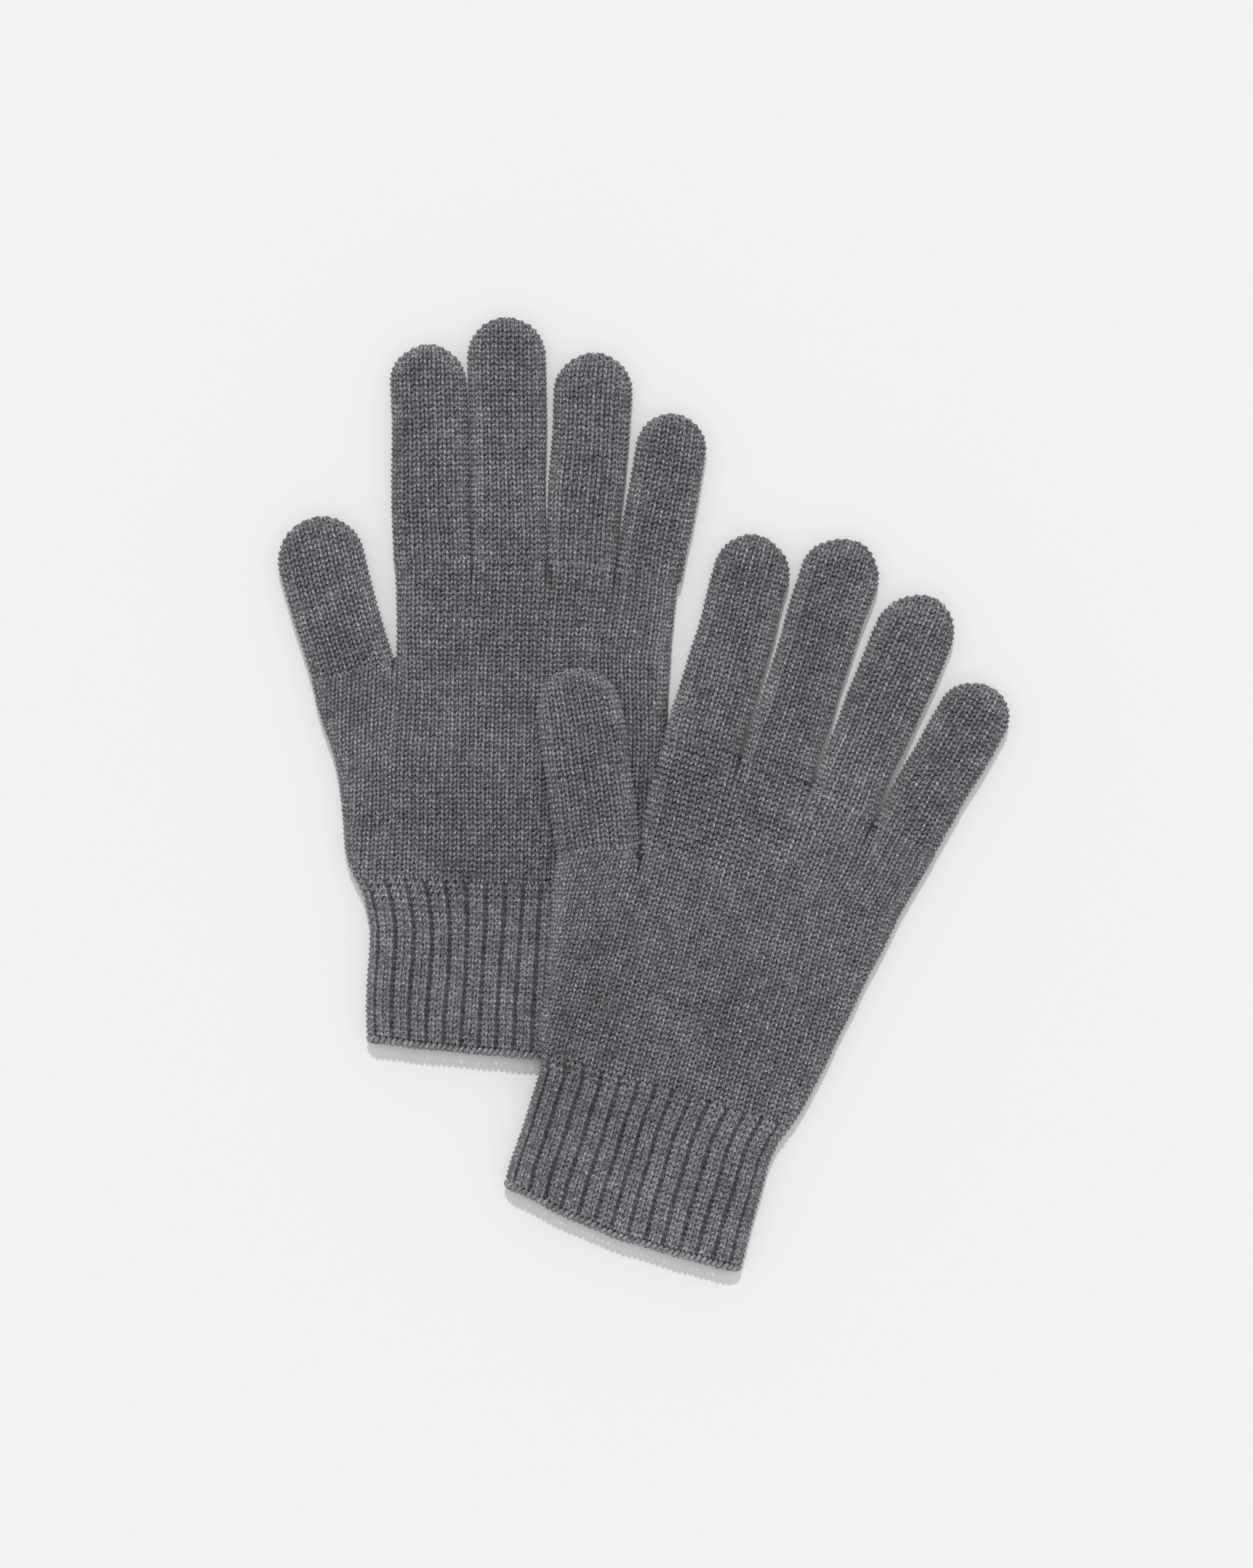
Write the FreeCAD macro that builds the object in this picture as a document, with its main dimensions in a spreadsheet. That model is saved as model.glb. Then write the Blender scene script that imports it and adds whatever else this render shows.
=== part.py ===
import FreeCAD, Part
import math
import os
from functools import partial

import Sketcher
from FreeCAD import Placement, Rotation, Vector

"""A pair of knitted wool gloves laid flat, the left glove resting on the edge of the right one.

Millimetres, +Z up. Each glove is a set of flattened knitted tubes: a ribbed cuff with a bound-off
edge, a hand in two sections, four fingers and a thumb. A glove is drawn in its own frame, with the
wrist's centre at the origin and +Y towards the fingertips, and is then turned and moved to where it
lies. The digits that lie flat and the closing threads are PartDesign bodies. The hands, the cuffs and
the left index finger change width along their length or bend over the other glove, so they are solids
through rings of edges.
"""

FINGERS = ("index", "middle", "ring", "little")
DIGITS = ("thumb",) + FINGERS

# Fabric, gaps between moving tubes, and the threads that hold the glove together.
SIZES = {
    "fabric_wall": 2.0,
    "cavity_height": 4.6,
    "hinge_gap": 0.3,
    "stack_gap": 0.3,
    "drape_run": 18.0,
    "tip_thread_size": 1.2,
    "tip_thread_span": 11.0,
    "elastic_depth": 0.7,
    "elastic_band": 1.0,
    "elastic_spacing": 7.0,
    "elastic_first": 24.0,
    "crotch_thread_size": 1.8,
    "crotch_thread_slack": 0.1,
    "crotch_inset": 2.2,
    "cuff_edge_band": 2.6,
    "palm_split": 80.0,
    "thumb_base_width": 26.8,
    "index_base_width": 24.6,
    "middle_base_width": 23.6,
    "ring_base_width": 22.6,
    "little_base_width": 21.6,
    "thumb_tip_radius": 14.3,
    "index_tip_radius": 12.7,
    "middle_tip_radius": 12.8,
    "ring_tip_radius": 12.9,
    "little_tip_radius": 11.6,
}

# Where a glove lies: wrist centre (across, along) and lean of the hand to the right, in degrees.
GLOVE_LAY = {
    "right": {"wrist_across": -48.55, "wrist_along": -34.7, "hand_lean": 1.4},
    "left": {"wrist_across": 5.45, "wrist_along": -101.0, "hand_lean": 17.0},
}

# Each digit in its glove's frame: base centre (across, along), lean in degrees, and length.
DIGIT_LAY = {
    "right": {
        "thumb": (-48.0, 74.2, -17.4, 51.6),
        "index": (-22.7, 111.6, -2.9, 69.5),
        "middle": (2.2, 112.2, -2.0, 78.4),
        "ring": (25.7, 110.9, 2.7, 68.9),
        "little": (48.0, 108.1, 8.3, 53.0),
    },
    "left": {
        "thumb": (-43.5, 74.5, -25.0, 59.0),
        "index": (-20.9, 117.5, -1.0, 69.7),
        "middle": (4.3, 115.5, 1.3, 79.2),
        "ring": (28.2, 111.3, 6.3, 73.4),
        "little": (51.0, 106.8, 12.5, 56.8),
    },
}

# Stations of the flattened tube: name, height above the wrist, then the thumb-side and little-side
# edge of the right glove and of the left glove.
CUFF_STATIONS = (
    ("wrist", 0.0, (-42.0, 43.5), (-41.0, 41.3)),
    ("waist", -9.0, (-40.3, 42.0), (-40.8, 40.2)),
    ("ribs", -30.0, (-41.0, 41.4), (-41.0, 40.8)),
    ("opening", -54.0, (-40.2, 40.6), (-40.6, 41.6)),
)
LOWER_STATIONS = (
    ("wrist", 0.0, (-42.0, 43.5), (-41.0, 41.3)),
    ("heel", 12.0, (-47.6, 47.8), (-44.4, 45.4)),
    ("palm", 26.0, (-49.9, 51.3), (-47.3, 47.7)),
    ("swell", 44.0, (-53.0, 53.7), (-50.9, 50.6)),
    ("root", 62.0, (-59.2, 55.0), (-54.6, 53.7)),
    ("crotch", 84.0, (-63.6, 55.9), (-58.0, 57.2)),
)
UPPER_STATIONS = (
    ("split", 80.0, (-34.3, 55.7), (-31.2, 56.4)),
    ("web", 92.0, (-33.7, 56.3), (-33.2, 58.9)),
    ("knuckle", 104.0, (-34.4, 57.6), (-33.4, 62.2)),
    ("beyond", 122.0, (-36.0, 60.5), (-33.6, 68.0)),
)

# Length of the cuff below the wrist at its thumb side, middle and little side.
CUFF_LENGTHS = {"right": (46.9, 50.3, 51.3), "left": (40.4, 45.6, 44.8)}

# Corners of the part of the right glove that the left glove lies on, anticlockwise.
SHELF = ((8.0, 18.0), (-36.0, 62.0), (-64.0, 62.0), (-64.0, -84.0), (-6.4, -92.2))

ELASTIC_COUNT = 3

# How far a pocket runs past an open end, and how far a cutting outline runs past the fabric.
OPEN_END = 1.0
GROOVE_OPEN = 0.4
FAR = 90.0
CUFF_HALF = 40.5
CUFF_REACH = 1.4

# Rounding of a flat tube's sides as a share of its thickness.
ROUND_SHARE = 0.49

# Spacing of the points and rings that a bent tube is lofted through.
BEND_STEP = 4.0
STATION_STEP = 9.0
BENT_REACH = 27.0

# Step from the thumb's crotch to the thread that closes it.
THUMB_THREAD_STEP = (-4.5, -5.5)

TINY = 1e-4


def fill_sheet(doc):
    """Write every driving dimension to the spreadsheet, one named cell each."""
    rows = dict(SIZES)
    for side, lay in GLOVE_LAY.items():
        for name, value in lay.items():
            rows[f"{side}_{name}"] = value
        for digit, values in DIGIT_LAY[side].items():
            for name, value in zip(("across", "along", "lean", "length"), values):
                rows[f"{side}_{digit}_{name}"] = value
        for name, value in zip(("thumb_side", "middle", "little_side"), CUFF_LENGTHS[side]):
            rows[f"{side}_cuff_{name}"] = value
    for station, along, right, left in CUFF_STATIONS + LOWER_STATIONS + UPPER_STATIONS:
        rows[f"{station}_along"] = along
        for side, edges in (("right", right), ("left", left)):
            rows[f"{side}_{station}_thumb_edge"] = edges[0]
            rows[f"{side}_{station}_little_edge"] = edges[1]
    sheet = doc.addObject("Spreadsheet::Sheet", "Sizes")
    for number, (alias, value) in enumerate(rows.items(), start=1):
        sheet.set(f"A{number}", alias)
        sheet.set(f"B{number}", str(value))
        sheet.setAlias(f"B{number}", alias)
    doc.recompute()
    return sheet


def plane_of(body, role):
    """The origin plane of a body that has the given role."""
    return next(item for item in body.Origin.OriginFeatures if item.Role == role)


def new_body(doc, label):
    """A PartDesign body with its own label."""
    body = doc.addObject("PartDesign::Body", label)
    body.Label = label
    body.AllowCompound = True
    return body


def new_sketch(body, name, role, offset):
    """A sketch on one of the body's origin planes, moved along the plane's normal."""
    sketch = body.newObject("Sketcher::SketchObject", name)
    sketch.AttachmentSupport = (plane_of(body, role), [""])
    sketch.MapMode = "FlatFace"
    sketch.AttachmentOffset = Placement(Vector(0, 0, offset), Rotation())
    return sketch


def bind(sketch, name, constraint, formula):
    """Add a named constraint to a sketch and drive it from the sheet."""
    index = sketch.addConstraint(constraint)
    sketch.renameConstraint(index, name)
    sketch.setExpression(f"Constraints.{name}", formula)


def arc(across, along, radius, start, end):
    """An arc of a circle about a point, between two angles in degrees."""
    circle = Part.Circle(Vector(across, along, 0), Vector(0, 0, 1), radius)
    return Part.ArcOfCircle(circle, math.radians(start), math.radians(end))


class Glove:
    """One glove: reads its sizes from the sheet and makes its sub-parts."""

    def __init__(self, doc, sheet, side):
        self.doc = doc
        self.sheet = sheet
        self.side = side
        self.wall = sheet.fabric_wall
        self.cavity = sheet.cavity_height
        self.thick = 2 * self.wall + self.cavity
        self.draped = side == "left"
        self.rise = self.thick + sheet.stack_gap
        self.lay = Placement(
            Vector(self.own("wrist_across"), self.own("wrist_along"), 0),
            Rotation(Vector(0, 0, 1), -self.own("hand_lean")),
        )
        self.parts = []

    def own(self, name):
        """A size of this glove from the sheet."""
        return getattr(self.sheet, f"{self.side}_{name}")

    # ------------------------------------------------------------------ lay of the fabric

    def height(self, across, along):
        """Height of the glove's underside at a point of the glove's own frame."""
        if not self.draped:
            return 0.0
        point = self.lay.multVec(Vector(across, along, 0))
        share = min(1.0, shelf_distance(point.x, point.y) / self.sheet.drape_run)
        return self.rise * (1.0 - share * share * (3.0 - 2.0 * share))

    def digit_axis(self, digit):
        """Base centre and direction of a digit in the glove's frame."""
        lean = math.radians(self.own(f"{digit}_lean"))
        base = Vector(self.own(f"{digit}_across"), self.own(f"{digit}_along"), 0)
        return base, Vector(math.sin(lean), math.cos(lean), 0)

    def mouth_line(self, digit):
        """A point and direction of the hand's edge below a digit, one hinge gap from its base."""
        base, axis = self.digit_axis(digit)
        return base - axis * self.sheet.hinge_gap, Vector(axis.y, -axis.x, 0)

    def mouth_corners(self, digit):
        """The two ends of the hand's edge below a digit, thumb side first."""
        middle, run = self.mouth_line(digit)
        half = getattr(self.sheet, f"{digit}_base_width") / 2
        return [middle - run * half, middle + run * half]

    def crotch(self, digit, neighbour):
        """The point half way between the mouths of two neighbouring digits."""
        return (self.mouth_corners(digit)[1] + self.mouth_corners(neighbour)[0]) * 0.5

    def thumb_crotch(self):
        """The point between the thumb and the hand."""
        start, run = self.mouth_line("thumb")
        return start + run * (self.sheet.thumb_base_width / 2 + self.sheet.hinge_gap)

    def finger_mouths(self):
        """Closed outline in plan of all that lies beyond the bases of the four fingers."""
        first, run = self.mouth_line("index")
        last, turn = self.mouth_line("little")
        corners = [point for digit in FINGERS for point in self.mouth_corners(digit)]
        points = [first - run * FAR] + corners[1:-1] + [last + turn * FAR]
        return points + [Vector(FAR, 2 * FAR, 0), Vector(-FAR, 2 * FAR, 0)]

    def thumb_mouth(self):
        """Closed outline in plan of all that lies beyond the lower section of the hand."""
        start, run = self.mouth_line("thumb")
        crotch = self.thumb_crotch()
        split = self.sheet.palm_split
        points = [start - run * FAR, crotch, Vector(crotch.x, split, 0), Vector(FAR, split, 0)]
        return points + [Vector(FAR, 2 * FAR, 0), Vector(-2 * FAR, 2 * FAR, 0)]

    # ------------------------------------------------------------------ flat tubes

    def finish(self, item, placement):
        """Put a finished sub-part where its glove lies and keep it."""
        item.Placement = self.lay.multiply(placement)
        self.parts.append(item)
        return item

    def digit_outline(self, sketch, digit, inner):
        """Plan of a digit: a base line, two sides and a round tip; the inner one is a wall smaller."""
        inset = self.wall if inner else 0.0
        trim = " - Sizes.fabric_wall" if inner else ""
        radius = getattr(self.sheet, f"{digit}_tip_radius") - inset
        half = getattr(self.sheet, f"{digit}_base_width") / 2 - inset
        centre = self.own(f"{digit}_length") - getattr(self.sheet, f"{digit}_tip_radius")
        low = -OPEN_END if inner else 0.0
        sketch.addGeometry(Part.LineSegment(Vector(-half, low, 0), Vector(half, low, 0)))
        sketch.addGeometry(Part.LineSegment(Vector(half, low, 0), Vector(radius, centre, 0)))
        sketch.addGeometry(arc(0, centre, radius, 0, 180))
        sketch.addGeometry(Part.LineSegment(Vector(-radius, centre, 0), Vector(-half, low, 0)))
        sketch.addConstraint(Sketcher.Constraint("Coincident", 0, 2, 1, 1))
        sketch.addConstraint(Sketcher.Constraint("Tangent", 1, 2, 2, 1))
        sketch.addConstraint(Sketcher.Constraint("Tangent", 2, 2, 3, 1))
        sketch.addConstraint(Sketcher.Constraint("Coincident", 3, 2, 0, 1))
        sketch.addConstraint(Sketcher.Constraint("PointOnObject", 2, 3, -2))
        sketch.addConstraint(Sketcher.Constraint("Symmetric", 0, 1, 0, 2, -2))
        bind(sketch, "base_width", Sketcher.Constraint("DistanceX", 0, 1, 0, 2, 2 * half),
             f"Sizes.{digit}_base_width{trim}{trim}")
        bind(sketch, "tip_radius", Sketcher.Constraint("Radius", 2, radius),
             f"Sizes.{digit}_tip_radius{trim}")
        bind(sketch, "tip_centre", Sketcher.Constraint("DistanceY", -1, 1, 2, 3, centre),
             f"Sizes.{self.side}_{digit}_length - Sizes.{digit}_tip_radius")
        if inner:
            sketch.addConstraint(Sketcher.Constraint("DistanceY", 0, 1, -1, 1, -low))
        else:
            sketch.addConstraint(Sketcher.Constraint("PointOnObject", 0, 1, -1))

    def digit_place(self, digit, height=0.0):
        """Placement of a digit's own frame within its glove."""
        base, axis = self.digit_axis(digit)
        turn = Rotation(Vector(0, 0, 1), -self.own(f"{digit}_lean"))
        return Placement(base + Vector(0, 0, height), turn)

    def flat_digit(self, digit, height):
        """A digit that lies flat: a padded outline with rounded sides and a pocket for the finger."""
        body = new_body(self.doc, f"{self.side}_{digit}" + ("" if digit == "thumb" else "_finger"))
        outline = new_sketch(body, f"{body.Name}_outline", "XY_Plane", 0)
        self.digit_outline(outline, digit, False)
        pad = body.newObject("PartDesign::Pad", f"{body.Name}_pad")
        pad.Profile = outline
        pad.setExpression("Length", "2 * Sizes.fabric_wall + Sizes.cavity_height")
        self.doc.recompute()
        rounded = body.newObject("PartDesign::Fillet", f"{body.Name}_round")
        rounded.Base = (pad, rim_edges(pad.Shape, self.thick))
        rounded.setExpression("Radius", f"(2 * Sizes.fabric_wall + Sizes.cavity_height) * {ROUND_SHARE}")
        hollow = new_sketch(body, f"{body.Name}_inside", "XY_Plane", self.wall)
        self.digit_outline(hollow, digit, True)
        pocket = body.newObject("PartDesign::Pocket", f"{body.Name}_pocket")
        pocket.Profile = hollow
        pocket.Reversed = True
        pocket.setExpression("Length", "Sizes.cavity_height")
        return self.finish(body, self.digit_place(digit, height))

    def tip_thread(self, digit, height):
        """The thread that closes a digit's tip, lying along the inside of the last course."""
        body = new_body(self.doc, f"{self.side}_{digit}_tip_thread")
        size = self.sheet.tip_thread_size
        half = self.sheet.tip_thread_span / 2
        tip = getattr(self.sheet, f"{digit}_tip_radius")
        outer = tip - self.wall
        inner = outer - size
        centre = self.own(f"{digit}_length") - tip
        sketch = new_sketch(body, f"{body.Name}_bow", "XY_Plane", (self.thick - size) / 2)
        far, near = (math.degrees(math.acos(half / radius)) for radius in (outer, inner))
        sketch.addGeometry(arc(0, centre, outer, far, 180 - far))
        sketch.addGeometry(arc(0, centre, inner, near, 180 - near))
        for x in (half, -half):
            low, high = (centre + math.sqrt(radius**2 - half**2) for radius in (inner, outer))
            sketch.addGeometry(Part.LineSegment(Vector(x, low, 0), Vector(x, high, 0)))
        for first, end, second, other in ((0, 1, 2, 2), (0, 2, 3, 2), (1, 1, 2, 1), (1, 2, 3, 1)):
            sketch.addConstraint(Sketcher.Constraint("Coincident", first, end, second, other))
        sketch.addConstraint(Sketcher.Constraint("Coincident", 0, 3, 1, 3))
        sketch.addConstraint(Sketcher.Constraint("PointOnObject", 0, 3, -2))
        sketch.addConstraint(Sketcher.Constraint("Vertical", 2))
        sketch.addConstraint(Sketcher.Constraint("Vertical", 3))
        tip_name = f"Sizes.{digit}_tip_radius"
        bind(sketch, "centre", Sketcher.Constraint("DistanceY", -1, 1, 0, 3, centre),
             f"Sizes.{self.side}_{digit}_length - {tip_name}")
        bind(sketch, "outer", Sketcher.Constraint("Radius", 0, outer), f"{tip_name} - Sizes.fabric_wall")
        bind(sketch, "inner", Sketcher.Constraint("Radius", 1, inner),
             f"{tip_name} - Sizes.fabric_wall - Sizes.tip_thread_size")
        bind(sketch, "right_end", Sketcher.Constraint("DistanceX", -1, 1, 2, 1, half),
             "Sizes.tip_thread_span / 2")
        bind(sketch, "left_end", Sketcher.Constraint("DistanceX", 3, 1, -1, 1, half),
             "Sizes.tip_thread_span / 2")
        pad = body.newObject("PartDesign::Pad", f"{body.Name}_pad")
        pad.Profile = sketch
        pad.setExpression("Length", "Sizes.tip_thread_size")
        return self.finish(body, self.digit_place(digit, height))

    # ------------------------------------------------------------------ bent tubes

    def edges_at(self, stations, along):
        """Thumb-side and little-side edges of the tube at a height, smooth through the stations."""
        heights = [item[1] for item in stations]
        names = [item[0] for item in stations]
        kinds = ("thumb_edge", "little_edge")
        return [smooth_value(heights, [self.own(f"{name}_{kind}") for name in names], along)
                for kind in kinds]

    def ring(self, ends, place, inset, count):
        """Four edges round a flattened tube: underside, one round side, upper side, the other side."""
        radius = self.thick / 2 - inset
        left, right = ends[0] + self.thick / 2, ends[1] - self.thick / 2
        middles = []
        for step in range(count + 1):
            point = place(left + (right - left) * step / count)
            middles.append(Vector(point.x, point.y, self.height(point.x, point.y) + self.thick / 2))
        lower, upper = (
            Part.BSplineCurve([point + Vector(0, 0, shift) for point in middles], None, None, False, 3)
            for shift in (-radius, radius)
        )
        sides = []
        for end, across, reach in ((middles[-1], right, radius), (middles[0], left, -radius)):
            outer = place(across + reach)
            sides.append(Vector(outer.x, outer.y, end.z))
        low_left, low_right = (middles[number] - Vector(0, 0, radius) for number in (0, -1))
        high_left, high_right = (middles[number] + Vector(0, 0, radius) for number in (0, -1))
        return [
            lower.toShape(),
            Part.Arc(low_right, sides[0], high_right).toShape(),
            upper.toShape(),
            Part.Arc(low_left, sides[1], high_left).toShape(),
        ]

    def tube(self, rings):
        """A solid through rings of four edges, straight from each ring to the next."""
        faces = []
        for near, far in zip(rings, rings[1:]):
            faces += [Part.makeRuledSurface(*pair) for pair in zip(near, far)]
        for edges in (rings[0], rings[-1]):
            faces.append(Part.Face(Part.Wire(Part.__sortEdges__(edges))))
        shell = Part.makeShell(faces)
        shell.sewShape()
        solid = Part.makeSolid(shell)
        if solid.Volume < 0:
            solid.reverse()
        return solid

    def hollow_tube(self, low, high, ends_at, place):
        """A tube open at both ends, with the fabric's wall all round."""
        ends = ends_at(low)
        count = max(4, round((ends[1] - ends[0]) / BEND_STEP))
        steps = max(2, round((high - low) / STATION_STEP))
        solids = []
        for inset, reach in ((0.0, 0.0), (self.wall, OPEN_END)):
            rings = []
            for step in range(steps + 1):
                along = low - reach + (high - low + 2 * reach) * step / steps
                rings.append(self.ring(ends_at(along), partial(place, along), inset, count))
            solids.append(self.tube(rings))
        return solids[0].cut(solids[1])

    def section(self, stations, low, high, beyond):
        """A section of the hand or the cuff, without what lies beyond an outline in plan."""
        wall = self.hollow_tube(low, high, partial(self.edges_at, stations), in_plan)
        return wall.cut(prism(beyond))

    def bent_digit(self, digit):
        """A digit whose base bends over the other glove and whose far part lies flat."""
        base, axis = self.digit_axis(digit)
        side = Vector(axis.y, -axis.x, 0)
        tip = getattr(self.sheet, f"{digit}_tip_radius")
        root = getattr(self.sheet, f"{digit}_base_width") / 2
        centre = self.own(f"{digit}_length") - tip

        def ends_at(along):
            half = root + (tip - root) * along / centre
            return -half, half

        def place(along, across):
            return base + axis * along + side * across

        near = self.hollow_tube(0.0, BENT_REACH, ends_at, place)
        outlines = []
        for inset in (0.0, self.wall):
            half, wide = ends_at(BENT_REACH)[1] - inset, tip - inset
            low = BENT_REACH - (OPEN_END if inset else 0.0)
            corners = [Vector(-wide, centre, 0), Vector(-half, low, 0), Vector(half, low, 0),
                       Vector(wide, centre, 0)]
            edges = [Part.LineSegment(*pair).toShape() for pair in zip(corners, corners[1:])]
            edges.append(Part.Arc(corners[3], Vector(0, centre + wide, 0), corners[0]).toShape())
            outlines.append(Part.Face(Part.Wire(edges)))
        solid = outlines[0].extrude(Vector(0, 0, self.thick))
        rims = [solid.Edges[int(name[4:]) - 1] for name in rim_edges(solid, self.thick, BENT_REACH)]
        solid = solid.makeFillet(self.thick * ROUND_SHARE, rims)
        inside = outlines[1].extrude(Vector(0, 0, self.cavity))
        inside.translate(Vector(0, 0, self.wall))
        far = solid.cut(inside)
        far.Placement = self.digit_place(digit)
        return near.fuse(far)

    def keep_shape(self, name, shape):
        """Store a bent shape as its own named object."""
        item = self.doc.addObject("Part::Feature", f"{self.side}_{name}")
        item.Label = f"{self.side}_{name}"
        item.Shape = shape
        return self.finish(item, Placement())

    # ------------------------------------------------------------------ the glove's sub-parts

    def cuff_line(self, rise):
        """Three points along the cuff's curved lower edge, run past its sides and moved up the cuff."""
        thumb, middle, little = (
            self.own(f"cuff_{name}") for name in ("thumb_side", "middle", "little_side")
        )
        points = []
        for share in (-CUFF_REACH, 0.0, CUFF_REACH):
            bow = ((thumb + little) / 2 - middle) * share**2
            length = middle + (little - thumb) / 2 * share + bow
            points.append(Vector(CUFF_HALF * share, rise - length, 0))
        return points

    def below_cuff(self, rise):
        """Closed outline in plan of all that lies below the cuff's edge, moved up the cuff."""
        left, middle, right = self.cuff_line(rise)
        low_left, low_right = Vector(left.x, -2 * FAR, 0), Vector(right.x, -2 * FAR, 0)
        corners = [right, low_right, low_left, left]
        edges = [Part.LineSegment(*pair).toShape() for pair in zip(corners, corners[1:])]
        return [Part.Arc(left, middle, right).toShape()] + edges

    def cuff(self):
        """The ribbed cuff, with grooves inside for the elastic threads, and its bound-off edge."""
        band = self.sheet.cuff_edge_band
        top = 0.0 if self.side == "right" else -self.sheet.hinge_gap
        low = CUFF_STATIONS[-1][1]
        stations = tuple(reversed(CUFF_STATIONS))
        whole = self.section(stations, low, top, self.below_cuff(0.0))
        below = prism(self.below_cuff(band))
        ribbed = whole.cut(below)
        for number in range(ELASTIC_COUNT):
            ribbed = ribbed.cut(self.elastic_loop(number, GROOVE_OPEN))
        self.keep_shape("cuff", ribbed)
        self.keep_shape("cuff_edge", whole.common(below))

    def elastic_loop(self, number, inward=0.0):
        """One flat loop of elastic set into the cuff's inner face, or the groove that takes it."""
        sheet = self.sheet
        along = -(sheet.elastic_first + number * sheet.elastic_spacing)
        left, right = self.edges_at(tuple(reversed(CUFF_STATIONS)), along)
        left, right = left + self.thick / 2, right - self.thick / 2
        faces = []
        for radius in (self.cavity / 2 + sheet.elastic_depth, self.cavity / 2 - inward):
            low, high = self.thick / 2 - radius, self.thick / 2 + radius
            middle = self.thick / 2
            spots = ((left, low), (right, low), (right, high), (left, high))
            corners = [Vector(across, along, up) for across, up in spots]
            edges = [
                Part.LineSegment(corners[0], corners[1]).toShape(),
                Part.Arc(corners[1], Vector(right + radius, along, middle), corners[2]).toShape(),
                Part.LineSegment(corners[2], corners[3]).toShape(),
                Part.Arc(corners[3], Vector(left - radius, along, middle), corners[0]).toShape(),
            ]
            faces.append(Part.Face(Part.Wire(edges)).extrude(Vector(0, sheet.elastic_band, 0)))
        return faces[0].cut(faces[1])

    def crotch_threads(self):
        """The threads that close the small holes between the digits, from face to face."""
        body = new_body(self.doc, f"{self.side}_crotch_threads")
        spots = []
        for digit, neighbour in zip(FINGERS, FINGERS[1:]):
            axes = self.digit_axis(digit)[1] + self.digit_axis(neighbour)[1]
            spots.append(self.crotch(digit, neighbour) - axes * (self.sheet.crotch_inset / 2))
        spots.append(self.thumb_crotch() + Vector(*THUMB_THREAD_STEP, 0))
        for number, spot in enumerate(spots):
            low = self.height(spot.x, spot.y) + self.wall + self.sheet.crotch_thread_slack / 2
            sketch = new_sketch(body, f"{body.Name}_spot_{number}", "XY_Plane", low)
            size = self.sheet.crotch_thread_size / 2
            sketch.addGeometry(Part.Circle(spot, Vector(0, 0, 1), size))
            bind(sketch, "size", Sketcher.Constraint("Radius", 0, size), "Sizes.crotch_thread_size / 2")
            pad = body.newObject("PartDesign::Pad", f"{body.Name}_pad_{number}")
            pad.Profile = sketch
            pad.setExpression("Length", "Sizes.cavity_height - Sizes.crotch_thread_slack")
        self.finish(body, Placement())

    def build(self):
        """Make every sub-part of the glove."""
        sheet = self.sheet
        split = sheet.palm_split
        lower_top, upper_top = LOWER_STATIONS[-1][1], UPPER_STATIONS[-1][1]
        lower = self.section(LOWER_STATIONS, 0.0, lower_top, wires_of(self.thumb_mouth()))
        self.keep_shape("lower_hand", lower)
        upper = self.section(UPPER_STATIONS, split, upper_top, wires_of(self.finger_mouths()))
        self.keep_shape("upper_hand", upper)
        self.cuff()
        loops = Part.makeCompound([self.elastic_loop(number) for number in range(ELASTIC_COUNT)])
        self.keep_shape("cuff_elastic", loops)
        for digit in DIGITS:
            height = self.rise if self.draped and digit == "thumb" else 0.0
            if self.draped and digit == "index":
                self.keep_shape("index_finger", self.bent_digit(digit))
            else:
                self.flat_digit(digit, height)
            self.tip_thread(digit, height)
        self.crotch_threads()


def shelf_distance(across, along):
    """Distance from a point of the surface to the shelf, zero above it."""
    nearest = None
    inside = True
    for start, end in zip(SHELF, SHELF[1:] + SHELF[:1]):
        run = (end[0] - start[0], end[1] - start[1])
        step = (across - start[0], along - start[1])
        if run[0] * step[1] - run[1] * step[0] < 0:
            inside = False
        share = (run[0] * step[0] + run[1] * step[1]) / (run[0] ** 2 + run[1] ** 2)
        share = max(0.0, min(1.0, share))
        gap = math.hypot(step[0] - share * run[0], step[1] - share * run[1])
        nearest = gap if nearest is None else min(nearest, gap)
    return 0.0 if inside else nearest


def smooth_value(places, values, at):
    """Value at a place on a smooth curve through a row of values."""
    number = max(0, min(len(places) - 2, sum(place <= at for place in places) - 1))
    width = places[number + 1] - places[number]
    share = (at - places[number]) / width
    slopes = []
    for spot in (number, number + 1):
        before, after = max(0, spot - 1), min(len(places) - 1, spot + 1)
        slopes.append((values[after] - values[before]) / (places[after] - places[before]) * width)
    start, end = values[number], values[number + 1]
    cube = 2 * (start - end) + slopes[0] + slopes[1]
    square = 3 * (end - start) - 2 * slopes[0] - slopes[1]
    return ((cube * share + square) * share + slopes[0]) * share + start


def in_plan(along, across):
    """A point of the glove's frame from its height above the wrist and its place across."""
    return Vector(across, along, 0)


def wires_of(points):
    """Straight edges round a closed outline."""
    return [Part.LineSegment(*pair).toShape() for pair in zip(points, points[1:] + points[:1])]


def prism(edges):
    """A tall solid over a closed outline in plan."""
    solid = Part.Face(Part.Wire(edges)).extrude(Vector(0, 0, 2 * FAR))
    solid.translate(Vector(0, 0, -FAR))
    return solid


def rim_edges(shape, thick, base=0.0):
    """Names of the edges round the top and bottom faces, but for those on the open base line."""
    names = []
    for number, edge in enumerate(shape.Edges, start=1):
        box = edge.BoundBox
        level = box.ZLength < TINY and (abs(box.ZMin) < TINY or abs(box.ZMin - thick) < TINY)
        if level and box.YMax - base > TINY:
            names.append(f"Edge{number}")
    return names


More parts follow.
